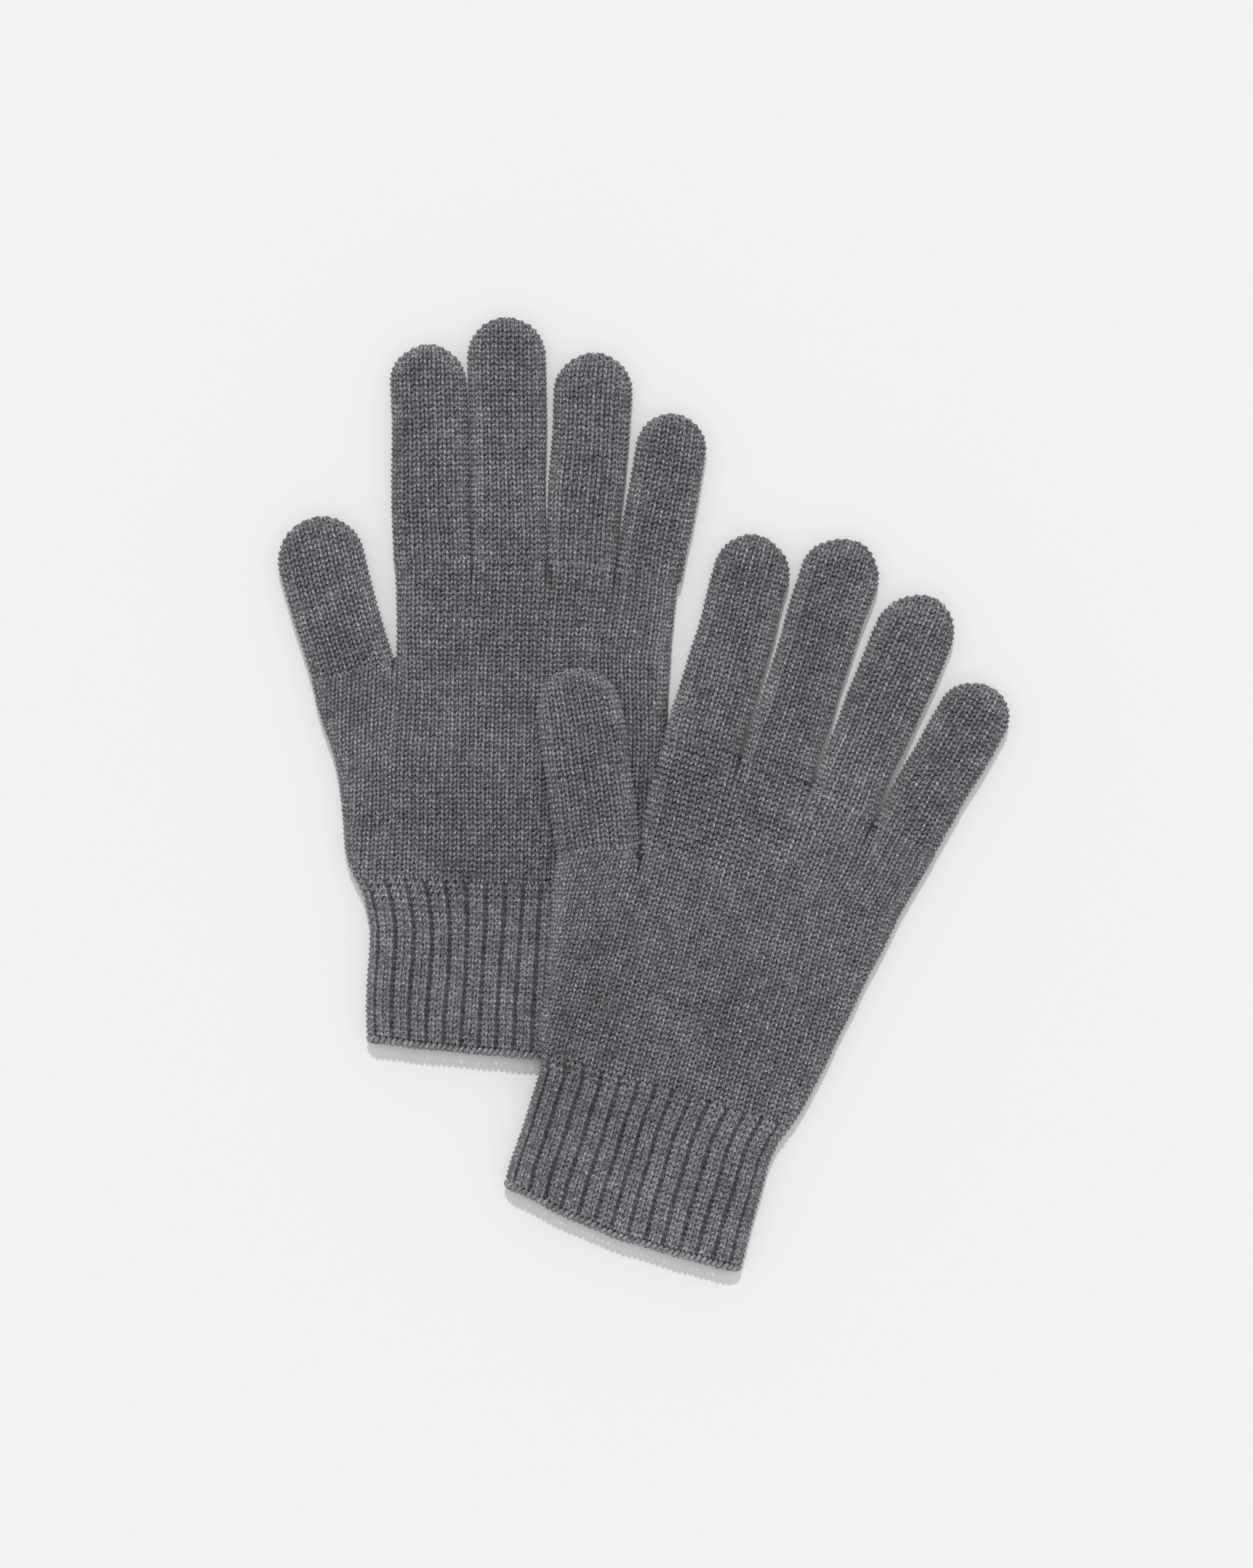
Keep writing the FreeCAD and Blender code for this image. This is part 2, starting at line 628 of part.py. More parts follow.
def check(doc, parts):
    """Stop if any object failed or any sub-part's shape is empty or broken."""
    for item in doc.Objects:
        if "Invalid" in item.State or "Error" in item.State:
            raise RuntimeError(f"{item.Label} failed: {item.State}")
    for item in parts:
        if item.Shape.isNull() or not item.Shape.isValid():
            raise RuntimeError(f"{item.Label} has no valid shape")


def main():
    """Build both gloves, check them and write one file for each sub-part."""
    doc = FreeCAD.newDocument("KnittedGloves")
    sheet = fill_sheet(doc)
    parts = []
    for side in GLOVE_LAY:
        glove = Glove(doc, sheet, side)
        glove.build()
        parts += glove.parts
    doc.recompute()
    check(doc, parts)
    os.makedirs("parts", exist_ok=True)
    whole = FreeCAD.BoundBox()
    for item in parts:
        item.Shape.exportStep(os.path.join("parts", f"{item.Label}.step"))
        box = item.Shape.BoundBox
        whole.add(box)
        print(f"{item.Label}: {len(item.Shape.Solids)} solids, {item.Shape.Volume:.0f} mm3")
    print(f"whole: {whole}")


main()
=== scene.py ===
"""A pair of wool gloves with ribbed cuffs, laid flat, the left one across the palm of the right.

The fabric is knitted here course by course: each course is one closed yarn that runs round a
flattened tube and rises and falls in loops, over a thin felted layer that stands for the fibres
behind the loops and is painted dark as the shade between them. Sizes are in millimetres until a mesh is made,
and the frame is in metres.
"""
import logging
import math
from dataclasses import dataclass, field
from enum import Enum

import bpy
import numpy as np
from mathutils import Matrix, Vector


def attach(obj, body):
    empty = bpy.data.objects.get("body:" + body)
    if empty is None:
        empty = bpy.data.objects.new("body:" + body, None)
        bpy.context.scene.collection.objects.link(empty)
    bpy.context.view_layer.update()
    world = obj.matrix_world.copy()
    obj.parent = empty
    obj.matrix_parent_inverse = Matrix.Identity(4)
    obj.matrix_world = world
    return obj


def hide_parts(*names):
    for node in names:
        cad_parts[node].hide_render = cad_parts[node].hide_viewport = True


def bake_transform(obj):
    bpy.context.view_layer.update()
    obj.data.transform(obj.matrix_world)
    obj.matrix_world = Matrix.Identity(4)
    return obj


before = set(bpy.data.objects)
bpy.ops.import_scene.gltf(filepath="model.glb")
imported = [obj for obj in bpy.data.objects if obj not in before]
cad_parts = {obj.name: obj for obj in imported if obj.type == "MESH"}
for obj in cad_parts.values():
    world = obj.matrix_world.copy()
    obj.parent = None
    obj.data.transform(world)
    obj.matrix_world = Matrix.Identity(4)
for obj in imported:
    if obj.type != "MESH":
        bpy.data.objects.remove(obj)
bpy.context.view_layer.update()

LOG = logging.getLogger("gloves")

MM = 0.001
Array = np.ndarray


class Side(Enum):
    """Which hand a glove is for."""

    RIGHT = "right"
    LEFT = "left"


class Digit(Enum):
    """The five digits, from the thumb side."""

    THUMB = "thumb"
    INDEX = "index"
    MIDDLE = "middle"
    RING = "ring"
    LITTLE = "little"


FINGERS = (Digit.INDEX, Digit.MIDDLE, Digit.RING, Digit.LITTLE)


# ---------------------------------------------------------------------- sizes of the pair


@dataclass(frozen=True)
class Fabric:
    """Sizes that all of the fabric shares.

    Attributes:
        wall: Thickness of one layer of knitting.
        cavity: Room between the two layers.
        gap: Space left at each hinge line.
        rise: How far the left glove is lifted where it lies on the right one.
        drape: Distance over which the left glove comes down again.
    """

    wall: float = 2.0
    cavity: float = 4.6
    gap: float = 0.3
    rise: float = 8.9
    drape: float = 18.0

    @property
    def half(self) -> float:
        """Half the height of a flattened tube."""
        return self.wall + self.cavity / 2


FABRIC = Fabric()

BASE_WIDTH = {Digit.THUMB: 26.8, Digit.INDEX: 24.6, Digit.MIDDLE: 23.6, Digit.RING: 22.6, Digit.LITTLE: 21.6}
TIP_RADIUS = {Digit.THUMB: 14.3, Digit.INDEX: 12.7, Digit.MIDDLE: 12.8, Digit.RING: 12.9, Digit.LITTLE: 11.6}

# Base centre across and along the glove, lean in degrees and length of each digit.
DIGIT_LAY = {
    Side.RIGHT: {
        Digit.THUMB: (-48.0, 74.2, -17.4, 51.6),
        Digit.INDEX: (-22.7, 111.6, -2.9, 69.5),
        Digit.MIDDLE: (2.2, 112.2, -2.0, 78.4),
        Digit.RING: (25.7, 110.9, 2.7, 68.9),
        Digit.LITTLE: (48.0, 108.1, 8.3, 53.0),
    },
    Side.LEFT: {
        Digit.THUMB: (-43.5, 74.5, -25.0, 59.0),
        Digit.INDEX: (-20.9, 117.5, -1.0, 69.7),
        Digit.MIDDLE: (4.3, 115.5, 1.3, 79.2),
        Digit.RING: (28.2, 111.3, 6.3, 73.4),
        Digit.LITTLE: (51.0, 106.8, 12.5, 56.8),
    },
}

# Wrist centre on the table and lean of the hand to the right in degrees.
GLOVE_LAY = {Side.RIGHT: (-48.55, -34.7, 1.4), Side.LEFT: (5.45, -101.0, 17.0)}

# Height above the wrist, then the thumb-side and little-side edges.
CUFF_STATIONS = {
    Side.RIGHT: ((-54.0, -40.2, 40.6), (-30.0, -41.0, 41.4), (-9.0, -40.3, 42.0), (0.0, -42.0, 43.5)),
    Side.LEFT: ((-54.0, -40.6, 41.6), (-30.0, -41.0, 40.8), (-9.0, -40.8, 40.2), (0.0, -41.0, 41.3)),
}
LOWER_STATIONS = {
    Side.RIGHT: (
        (0.0, -42.0, 43.5), (12.0, -47.6, 47.8), (26.0, -49.9, 51.3), (44.0, -53.0, 53.7),
        (62.0, -59.2, 55.0), (84.0, -63.6, 55.9),
    ),
    Side.LEFT: (
        (0.0, -41.0, 41.3), (12.0, -44.4, 45.4), (26.0, -47.3, 47.7), (44.0, -50.9, 50.6),
        (62.0, -54.6, 53.7), (84.0, -58.0, 57.2),
    ),
}
UPPER_STATIONS = {
    Side.RIGHT: ((80.0, -34.3, 55.7), (92.0, -33.7, 56.3), (104.0, -34.4, 57.6), (122.0, -36.0, 60.5)),
    Side.LEFT: ((80.0, -31.2, 56.4), (92.0, -33.2, 58.9), (104.0, -33.4, 62.2), (122.0, -33.6, 68.0)),
}
CUFF_LENGTHS = {Side.RIGHT: (46.9, 50.3, 51.3), Side.LEFT: (40.4, 45.6, 44.8)}
CUFF_HALF = 40.5
EDGE_BAND = 2.6
PALM_SPLIT = 80.0
THUMB_ZONE = 42.0
RIB_TOP = 6.0
WRIST_SEAM = -0.15

# Outline on the table of what lies under the left glove.
SHELF = ((8.0, 18.0), (-36.0, 62.0), (-64.0, 62.0), (-64.0, -84.0), (-6.4, -92.2))


@dataclass(frozen=True)
class Gauge:
    """How a stretch of fabric is knitted.

    Attributes:
        wale: Width of a stitch.
        course: Height of a course.
        reach: Half the height of a loop.
        swing: How far the legs of a loop stand apart at its head, as a share of the wale.
        weave: How far a loop goes in and out.
        yarn: Radius of the yarn.
        sunk: Depth of the middle of the yarn under the outer face.
    """

    wale: float = 2.7
    course: float = 1.7
    reach: float = 1.08
    swing: float = 0.29
    weave: float = 0.7
    yarn: float = 0.56
    sunk: float = 1.08


JERSEY = Gauge()
RIB = Gauge(wale=1.9, course=1.83, reach=1.18, swing=0.27, weave=0.6, yarn=0.55, sunk=0.98)
RIB_STEPS = (2.25, 2.25, 1.2)
RIB_CHANNEL = 0.55
RIB_CHANNEL_WIDTH = 1.0


# ---------------------------------------------------------------------- small sums


def smoothstep(share: Array) -> Array:
    """Nought to one with level ends, for a share that is cut to that range."""
    share = np.clip(share, 0.0, 1.0)
    return share * share * (3.0 - 2.0 * share)


def smooth_value(places: Array, values: Array, at: Array) -> Array:
    """Values on a smooth curve through a row of values.

    Args:
        places: Where the values are known, rising.
        values: The known values.
        at: Where the curve is wanted.

    Returns:
        The curve's values.
    """
    slopes = np.empty(len(places))
    for number in range(len(places)):
        before, after = max(0, number - 1), min(len(places) - 1, number + 1)
        slopes[number] = (values[after] - values[before]) / (places[after] - places[before])
    low = np.clip(np.searchsorted(places, at, side="right") - 1, 0, len(places) - 2)
    width = places[low + 1] - places[low]
    share = (at - places[low]) / width
    start, end = values[low], values[low + 1]
    first, last = slopes[low] * width, slopes[low + 1] * width
    cube = 2 * (start - end) + first + last
    square = 3 * (end - start) - 2 * first - last
    return ((cube * share + square) * share + first) * share + start


def unit(rows: Array) -> Array:
    """Each row scaled to a length of one."""
    return rows / np.maximum(np.linalg.norm(rows, axis=-1, keepdims=True), 1e-9)


def waves(across: Array, along: Array, seed: int, longest: float, shortest: float) -> Array:
    """A gentle field of crossing waves, about -1 to 1, that repeats the same way each run.

    Args:
        across: Where, across the glove.
        along: Where, along the glove.
        seed: Which field.
        longest: Longest wave.
        shortest: Shortest wave.

    Returns:
        The field's values.
    """
    draw = np.random.default_rng(seed)
    total = np.zeros_like(across)
    count = 7
    for _ in range(count):
        turn, phase = draw.uniform(0, math.tau, 2)
        length = math.exp(draw.uniform(math.log(shortest), math.log(longest)))
        total += np.sin((across * math.cos(turn) + along * math.sin(turn)) * math.tau / length + phase)
    return total / math.sqrt(count)


def shelf_distance(across: Array, along: Array) -> Array:
    """Distance on the table from the shelf's outline, nought inside it."""
    inside = np.ones(across.shape, bool)
    nearest = np.full(across.shape, np.inf)
    for start, end in zip(SHELF, SHELF[1:] + SHELF[:1]):
        run = (end[0] - start[0], end[1] - start[1])
        step = (across - start[0], along - start[1])
        inside &= run[0] * step[1] - run[1] * step[0] >= 0
        share = np.clip((run[0] * step[0] + run[1] * step[1]) / (run[0] ** 2 + run[1] ** 2), 0, 1)
        nearest = np.minimum(nearest, np.hypot(step[0] - share * run[0], step[1] - share * run[1]))
    return np.where(inside, 0.0, nearest)


# ---------------------------------------------------------------------- mesh making


@dataclass
class MeshStore:
    """Gathers points and faces, with what the finishes read from them, and makes one mesh.

    Attributes:
        points: Arrays of points.
        faces: Arrays of four point numbers.
        strand: Where each point is on its yarn: along it and round it.
        painted_light: Painted light and shade on each point: one on the outer face, darker between and behind
            the loops.
        chart: Flat places of the face corners.
    """

    points: list[Array] = field(default_factory=list)
    faces: list[Array] = field(default_factory=list)
    strand: list[Array] = field(default_factory=list)
    painted_light: list[Array] = field(default_factory=list)
    chart: list[Array] = field(default_factory=list)
    total: int = 0

    def add(self, points: Array, faces: Array, strand: Array, painted_light: Array, chart: Array) -> None:
        """Keep a batch of points and faces.

        Args:
            points: The points.
            faces: Four point numbers a face, counted from the batch's first point.
            strand: Three numbers a point.
            painted_light: Painted shade, one number a point.
            chart: Two numbers for each face corner.
        """
        self.points.append(points)
        self.faces.append(faces + self.total)
        self.strand.append(strand)
        self.painted_light.append(painted_light)
        self.chart.append(chart)
        self.total += len(points)

    def make(self, name: str, placed: Array) -> bpy.types.Object:
        """One object from all that was kept.

        Args:
            name: The piece's name.
            placed: The points in their final place, in metres.

        Returns:
            The new object, linked to the scene.
        """
        faces = np.concatenate(self.faces)
        mesh = bpy.data.meshes.new(name)
        mesh.vertices.add(len(placed))
        mesh.vertices.foreach_set("co", placed.astype(np.float32).ravel())
        mesh.loops.add(faces.size)
        mesh.loops.foreach_set("vertex_index", faces.astype(np.int32).ravel())
        mesh.polygons.add(len(faces))
        mesh.polygons.foreach_set("loop_start", np.arange(0, faces.size, 4, dtype=np.int32))
        mesh.polygons.foreach_set("use_smooth", np.ones(len(faces), bool))
        mesh.update(calc_edges=True)
        for label, kind, values in (
            ("strand", "FLOAT_VECTOR", np.concatenate(self.strand)),
            ("lay", "FLOAT_VECTOR", placed / MM),
            ("painted_light", "FLOAT", np.concatenate(self.painted_light)),
        ):
            layer = mesh.attributes.new(label, kind, "POINT")
            layer.data.foreach_set("vector" if kind == "FLOAT_VECTOR" else "value",
                                   values.astype(np.float32).ravel())
        chart = mesh.uv_layers.new(name="OFBake")
        chart.data.foreach_set("uv", np.concatenate(self.chart).astype(np.float32).ravel())
        item = bpy.data.objects.new(name, mesh)
        bpy.context.scene.collection.objects.link(item)
        return item


def tube_faces(count: int, sides: int, closed: bool) -> Array:
    """Faces between the rings of a tube.

    Args:
        count: Number of rings.
        sides: Points a ring.
        closed: Whether the last ring joins the first.

    Returns:
        Four point numbers a face.
    """
    rings = np.arange(count if closed else count - 1)
    first, second = np.meshgrid(rings, np.arange(sides), indexing="ij")
    after = (first + 1) % count
    beside = (second + 1) % sides
    corners = [first * sides + second, after * sides + second, after * sides + beside, first * sides + beside]
    return np.stack(corners, -1).reshape(-1, 4)


def tube_chart(count: int, sides: int, closed: bool, box: tuple[float, float, float, float]) -> Array:
    """Flat places of a tube's face corners, spread evenly in a box.

    Args:
        count: Number of rings.
        sides: Points a ring.
        closed: Whether the last ring joins the first.
        box: Left, low, right and high sides of the box.

    Returns:
        Two numbers for each face corner.
    """
    spans = count if closed else count - 1
    first, second = np.meshgrid(np.arange(spans), np.arange(sides), indexing="ij")
    left, low, right, high = box
    u0, u1 = left + (right - left) * first / spans, left + (right - left) * (first + 1) / spans
    v0, v1 = low + (high - low) * second / sides, low + (high - low) * (second + 1) / sides
    return np.stack([u0, v0, u1, v0, u1, v1, u0, v1], -1).reshape(-1, 2)


YARN_TWIST = 0.9
STRAND_STRETCH = 0.28
STRAND_ROUND = 0.55
# Painted shade of the yarns: where under the outer face it starts, and the depth over which it reaches full
# shade.
SHADE_START = 0.0
SHADE_DEPTH = 1.0
Box = tuple[float, float, float, float]


def yarn(store: MeshStore, path: Array, facing: Array, radius: Array, sides: int, closed: bool,
         offset: float, box: Box, depth: Array | float = 0.0) -> None:
    """Lay a round yarn along a path.

    Args:
        store: Where the mesh is gathered.
        path: The yarn's middle line.
        facing: A direction to steer by at each point of the line.
        radius: Radius at each point.
        sides: Points round the yarn.
        closed: Whether the yarn joins itself.
        offset: Where the yarn's own pattern of fibres starts.
        box: The yarn's part of the chart.
        depth: Height of the middle line above the fabric's outer face, or nought for a yarn on its own; it sets
            only the yarn's painted shade, darker the deeper it lies.
    """
    if closed:
        along = unit(np.roll(path, -1, 0) - np.roll(path, 1, 0))
    else:
        along = unit(np.gradient(path, axis=0))
    beside = unit(np.cross(along, facing))
    above = np.cross(beside, along)
    run = np.cumsum(np.linalg.norm(np.diff(path, axis=0, prepend=path[:1]), axis=1))
    turn = np.arange(sides) * math.tau / sides
    out = beside[:, None] * np.cos(turn)[:, None] + above[:, None] * np.sin(turn)[:, None]
    points = (path[:, None] + out * radius[:, None, None]).reshape(-1, 3)
    twist = turn[None, :] + run[:, None] * YARN_TWIST
    length = np.broadcast_to(run[:, None] * STRAND_STRETCH + offset, twist.shape)
    strand = np.stack([length, np.cos(twist) * STRAND_ROUND, np.sin(twist) * STRAND_ROUND], -1)
    # Painted shade: the colour is dimmed the deeper a point lies under the outer face and on the yarn's
    # underside, and kept full on its top.
    height = np.broadcast_to(depth, len(path))[:, None] + np.sin(turn) * radius[:, None]
    painted_light = smoothstep(1.0 + (height + SHADE_START) / SHADE_DEPTH).ravel()
    store.add(points, tube_faces(len(path), sides, closed), strand.reshape(-1, 3), painted_light,
              tube_chart(len(path), sides, closed, box))


def free_yarn(store: MeshStore, path: Array, facing: Array, radius: float, offset: float, box: Box) -> None:
    """Lay a yarn with two rounded ends.

    Args:
        store: Where the mesh is gathered.
        path: The yarn's middle line.
        facing: A direction to steer by.
        radius: The yarn's radius.
        offset: Where the yarn's own pattern of fibres starts.
        box: The yarn's part of the chart.
    """
    first, last = unit(path[0] - path[1]), unit(path[-1] - path[-2])
    ends = np.array([1.0, 0.75, 0.35])
    sizes = np.sqrt(np.maximum(0.0, 1.0 - ends**2))
    sizes[0] = 0.02
    before = path[0] + first * ends[:, None] * radius
    after = path[-1] + last * ends[::-1, None] * radius
    whole = np.concatenate([before, path, after])
    radii = np.concatenate([sizes, np.ones(len(path)), sizes[::-1]]) * radius
    yarn(store, whole, np.broadcast_to(facing, whole.shape), radii, THREAD_SIDES, False, offset, box)


THREAD_SIDES = 8


# ---------------------------------------------------------------------- flattened tubes


@dataclass
class Ring:
    """The way round a flattened tube at one course.

    Attributes:
        spots: Points round the outer face, starting at the thumb side over the upper layer.
        normals: Outward directions.
        ups: Directions along the surface towards the fingertips.
        round: Distance round at each point.
        half: Number of points on the upper layer.
    """

    spots: Array
    normals: Array
    ups: Array
    round: Array
    half: int

    @property
    def length(self) -> float:
        """Distance all the way round."""
        return float(self.round[-1])

    def at(self, places: Array) -> tuple[Array, Array, Array]:
        """Points, outward directions and upward directions at distances round the ring."""
        places = np.mod(places, self.length)
        spots, normals, ups = (
            np.stack([np.interp(places, self.round, rows[:, axis]) for axis in range(3)], -1)
            for rows in (self.spots, self.normals, self.ups)
        )
        return spots, unit(normals), unit(ups)

    def upper(self, across: Array) -> Array:
        """Distance round at which the upper layer reaches places across."""
        return np.interp(across, self.spots[: self.half, 0], self.round[: self.half])

    def lower(self, across: Array) -> Array:
        """Distance round at which the lower layer reaches places across."""
        return np.interp(across, self.spots[self.half:, 0][::-1], self.round[self.half:][::-1])


CREASE_SPREAD = 0.6
CREASE_DEPTH = 0.93


@dataclass
class Crease:
    """A furrow that runs down from between two digits, in both layers.

    Attributes:
        spot: Where the digits part.
        heading: Direction out between the digits.
        run: Length of the furrow.
    """

    spot: Array
    heading: Array
    run: float

    def pinch(self, across: Array, along: Array) -> tuple[Array, Array, Array]:
        """Share of the tube's half height that the furrow takes, and the direction away from it."""
        east, north = across - self.spot[0], along - self.spot[1]
        out = east * self.heading[0] + north * self.heading[1]
        side = east * self.heading[1] - north * self.heading[0]
        depth = CREASE_DEPTH * smoothstep(1.0 + out / self.run) ** 1.3
        width = FABRIC.half * (1.0 + CREASE_SPREAD * (1.0 - depth))
        share = depth * np.clip(1.0 - np.abs(side) / width, 0.0, 1.0)
        sign = np.where(side < 0, -1.0, 1.0)
        return share, sign * self.heading[1], -sign * self.heading[0]


RING_SAMPLES = 150


class Tube:
    """A flattened tube of fabric in its own frame: across, along and up from its middle."""

    courses: int
    gauge: Gauge

    def bounds(self, share: float) -> tuple[float, float]:
        """Places across where a course meets the two edges."""
        raise NotImplementedError

    def line(self, across: Array, share: float) -> Array:
        """Places along of a course, for places across."""
        raise NotImplementedError

    def pinch(self, across: Array, along: Array) -> tuple[Array, Array, Array]:
        """How near the edge each place is, nought to one, and the direction inward."""
        raise NotImplementedError

    def columns(self, share: float) -> Array:
        """Places across where one stitch meets the next, on the flat of a course."""
        raise NotImplementedError

    def to_glove(self, points: Array) -> Array:
        """Points of the tube's own frame in the glove's frame."""
        return points

    def ring(self, share: float) -> Ring:
        """The way round the tube at a share of its height."""
        left, right = self.bounds(share)
        turn = np.linspace(0.0, math.pi, RING_SAMPLES)
        across = left + (right - left) * (1.0 - np.cos(turn)) / 2.0
        along = self.line(across, share)
        pinched, east, north = self.pinch(across, along)
        up = np.sqrt(np.maximum(0.0, 1.0 - pinched**2))
        layers, facing = [], []
        for sign, order in ((1.0, slice(None)), (-1.0, slice(None, None, -1))):
            layers.append(np.stack([across, along, sign * up * FABRIC.half], -1)[order])
            facing.append(np.stack([-east * pinched, -north * pinched, sign * up], -1)[order])
        spots, normals = np.concatenate(layers), unit(np.concatenate(facing))
        forward = np.array([0.0, 1.0, 0.0])
        ups = unit(forward - normals * normals[:, 1:2])
        steps = np.linalg.norm(np.diff(spots, axis=0), axis=1)
        return Ring(spots, normals, ups, np.concatenate([[0.0], np.cumsum(steps)]), RING_SAMPLES)

    def stitch_ends(self, ring: Ring, share: float) -> Array:
        """Distances round a ring where stitches meet: straight wales on the flat, even ones round the sides."""
        places = self.columns(share)
        upper, lower = ring.upper(places), ring.lower(places[::-1])
        last = upper[0] + ring.length
        return np.concatenate([
            upper, self.between(upper[-1], lower[0]), lower, self.between(lower[-1], last), [last],
        ])

    def between(self, start: float, end: float) -> Array:
        """Evenly spaced distances between two, about a wale apart."""
        count = max(1, round((end - start) / self.gauge.wale))
        return start + (end - start) * np.arange(1, count) / count

    def relief(self, ring: Ring, places: Array) -> Array:
        """Height of the fabric's pattern above its own surface, at distances round a ring."""
        return np.zeros_like(places)

    def stitch_points(self, ends: Array) -> Array:
        """Number of points each stitch is made with."""
        return np.full(len(ends) - 1, LOOP_POINTS)


LEG_TILT = 0.06
PURL_SUNK = 0.78
# PURL_SHADE paints the sunk stitches of the rib darker with painted shade.
PURL_SHADE = 0.27
LOOP_POINTS = 8
PURL_POINTS = 4
YARN_SIDES = 5


class HandTube(Tube):
    """A stretch of the palm and back of the hand, between two lines across."""

    def __init__(self, glove: "Glove", stations: tuple, base: float, gauge: Gauge, courses: int) -> None:
        """Keep what shapes the stretch.

        Args:
            glove: The glove it belongs to.
            stations: Heights and edges.
            base: Height of its lower end.
            gauge: How it is knitted.
            courses: Number of courses.
        """
        self.glove = glove
        self.places, self.left, self.right = (np.array(values) for values in zip(*stations))
        self.base = base
        self.gauge = gauge
        self.courses = courses

    def top(self, across: Array) -> Array:
        """Height of the stretch's upper end at places across."""
        raise NotImplementedError

    def edge(self, side: Array, along: Array) -> Array:
        """Places across of one edge."""
        return smooth_value(self.places, side, np.clip(along, self.places[0], self.places[-1]))

    def line(self, across: Array, share: float) -> Array:
        """Courses turn gradually from level at the base to the slant of the top."""
        return self.base + (self.top(across) - self.base) * share

    def bounds(self, share: float) -> tuple[float, float]:
        """Where a course meets the edges, found by stepping to and fro."""
        found = []
        for side in (self.left, self.right):
            across = float(side[0])
            for _ in range(6):
                along = self.line(np.array([across]), share)
                across = float(self.edge(side, along)[0])
            found.append(across)
        return found[0], found[1]

    def pinch(self, across: Array, along: Array) -> tuple[Array, Array, Array]:
        """The nearest of the two edges and the creases."""
        found = []
        for side, sign in ((self.left, 1.0), (self.right, -1.0)):
            slope = self.edge(side, along + 0.5) - self.edge(side, along - 0.5)
            size = np.hypot(1.0, slope)
            share = 1.0 - sign * (across - self.edge(side, along)) / size / FABRIC.half
            found.append((np.clip(share, 0.0, 1.0), sign / size, -sign * slope / size))
        found += [crease.pinch(across, along) for crease in self.glove.creases]
        shares = np.stack([item[0] for item in found])
        best = np.argmax(shares, 0)
        easts = np.stack([np.broadcast_to(item[1], across.shape) for item in found])
        norths = np.stack([np.broadcast_to(item[2], across.shape) for item in found])
        pick = np.arange(len(across))
        return shares[best, pick], easts[best, pick], norths[best, pick]

    def columns(self, share: float) -> Array:
        """Straight wales, as many as the flat has room for."""
        left, right = self.bounds(share)
        places = self.glove.wale_lines(0.0)
        return places[(places > left + FABRIC.half) & (places < right - FABRIC.half)]


class WristTube(HandTube):
    """The ribbed courses between the hinge of the wrist and the palm."""

    def top(self, across: Array) -> Array:
        """The rib ends on a level line."""
        return np.full_like(across, RIB_TOP)

    def stitch_ends(self, ring: Ring, share: float) -> Array:
        """Ribs run evenly round the tube."""
        return rib_ends(ring)

    def relief(self, ring: Ring, places: Array) -> Array:
        """Raised pairs of wales and sunk channels, which fade out towards the palm."""
        return rib_relief(ring, places) * (1.0 - 0.8 * ring.spots[0, 1] / RIB_TOP)

    def stitch_points(self, ends: Array) -> Array:
        """Fewer points where a stitch lies deep in a channel."""
        return rib_points(ends)


def rib_ends(ring: Ring) -> Array:
    """Distances round a ring where the stitches of the rib meet."""
    steps = np.tile(RIB_STEPS, RIB_PAIRS)
    ends = np.concatenate([[0.0], np.cumsum(steps)])
    return ends * ring.length / ends[-1]


def rib_relief(ring: Ring, places: Array) -> Array:
    """Depth of the channels of the rib at distances round a ring."""
    period = ring.length / RIB_PAIRS
    middle = period * (1.0 - RIB_STEPS[2] / sum(RIB_STEPS) / 2.0)
    away = np.mod(places - middle + period / 2.0, period) - period / 2.0
    return -RIB_CHANNEL * np.exp(-((away / RIB_CHANNEL_WIDTH) ** 2))


def rib_points(ends: Array) -> Array:
    """Points for the stitches of the rib, two plain ones and a sunk one over and over."""
    return np.tile([LOOP_POINTS, LOOP_POINTS, PURL_POINTS], (len(ends) - 1) // 3)


RIB_PAIRS = 30


class LowerHandTube(HandTube):
    """The hand from the rib to the thumb's base, where its courses slant below the thumb."""

    def __init__(self, glove: "Glove", low: float, high: float, courses: int) -> None:
        """Keep which share of the stretch is knitted here."""
        super().__init__(glove, LOWER_STATIONS[glove.side], RIB_TOP, JERSEY, courses)
        self.low = low
        self.high = high

    def top(self, across: Array) -> Array:
        """The base line of the thumb, then the level line where the upper hand starts."""
        crotch = self.glove.thumb_crotch
        spot, run = self.glove.mouth_line(Digit.THUMB)
        slanted = spot[1] + (across - spot[0]) * run[1] / run[0]
        return np.where(across < crotch[0], slanted, np.minimum(PALM_SPLIT, crotch[1] + (across - crotch[0])))

    def line(self, across: Array, share: float) -> Array:
        """A course at a share of this part's own height."""
        return super().line(across, self.low + (self.high - self.low) * share)


class UpperHandTube(HandTube):
    """The hand from the thumb's base to the bases of the fingers."""

    def __init__(self, glove: "Glove", courses: int) -> None:
        """Keep the corners of the fingers' bases."""
        super().__init__(glove, UPPER_STATIONS[glove.side], PALM_SPLIT, JERSEY, courses)
        corners = [glove.mouth_corners(digit) for digit in FINGERS]
        points = [corners[0][0]]
        points += [(before[1] + after[0]) / 2 for before, after in zip(corners, corners[1:])]
        points.append(corners[-1][1])
        self.corners = np.array(points)

    def top(self, across: Array) -> Array:
        """The line through the bases of the fingers."""
        return np.interp(across, self.corners[:, 0], self.corners[:, 1])

    def columns(self, share: float) -> Array:
        """Wales that lean over to meet those of the fingers."""
        return self.glove.wale_lines(share)[self.glove.spare_wales:][: self.glove.flat_wales + 1]


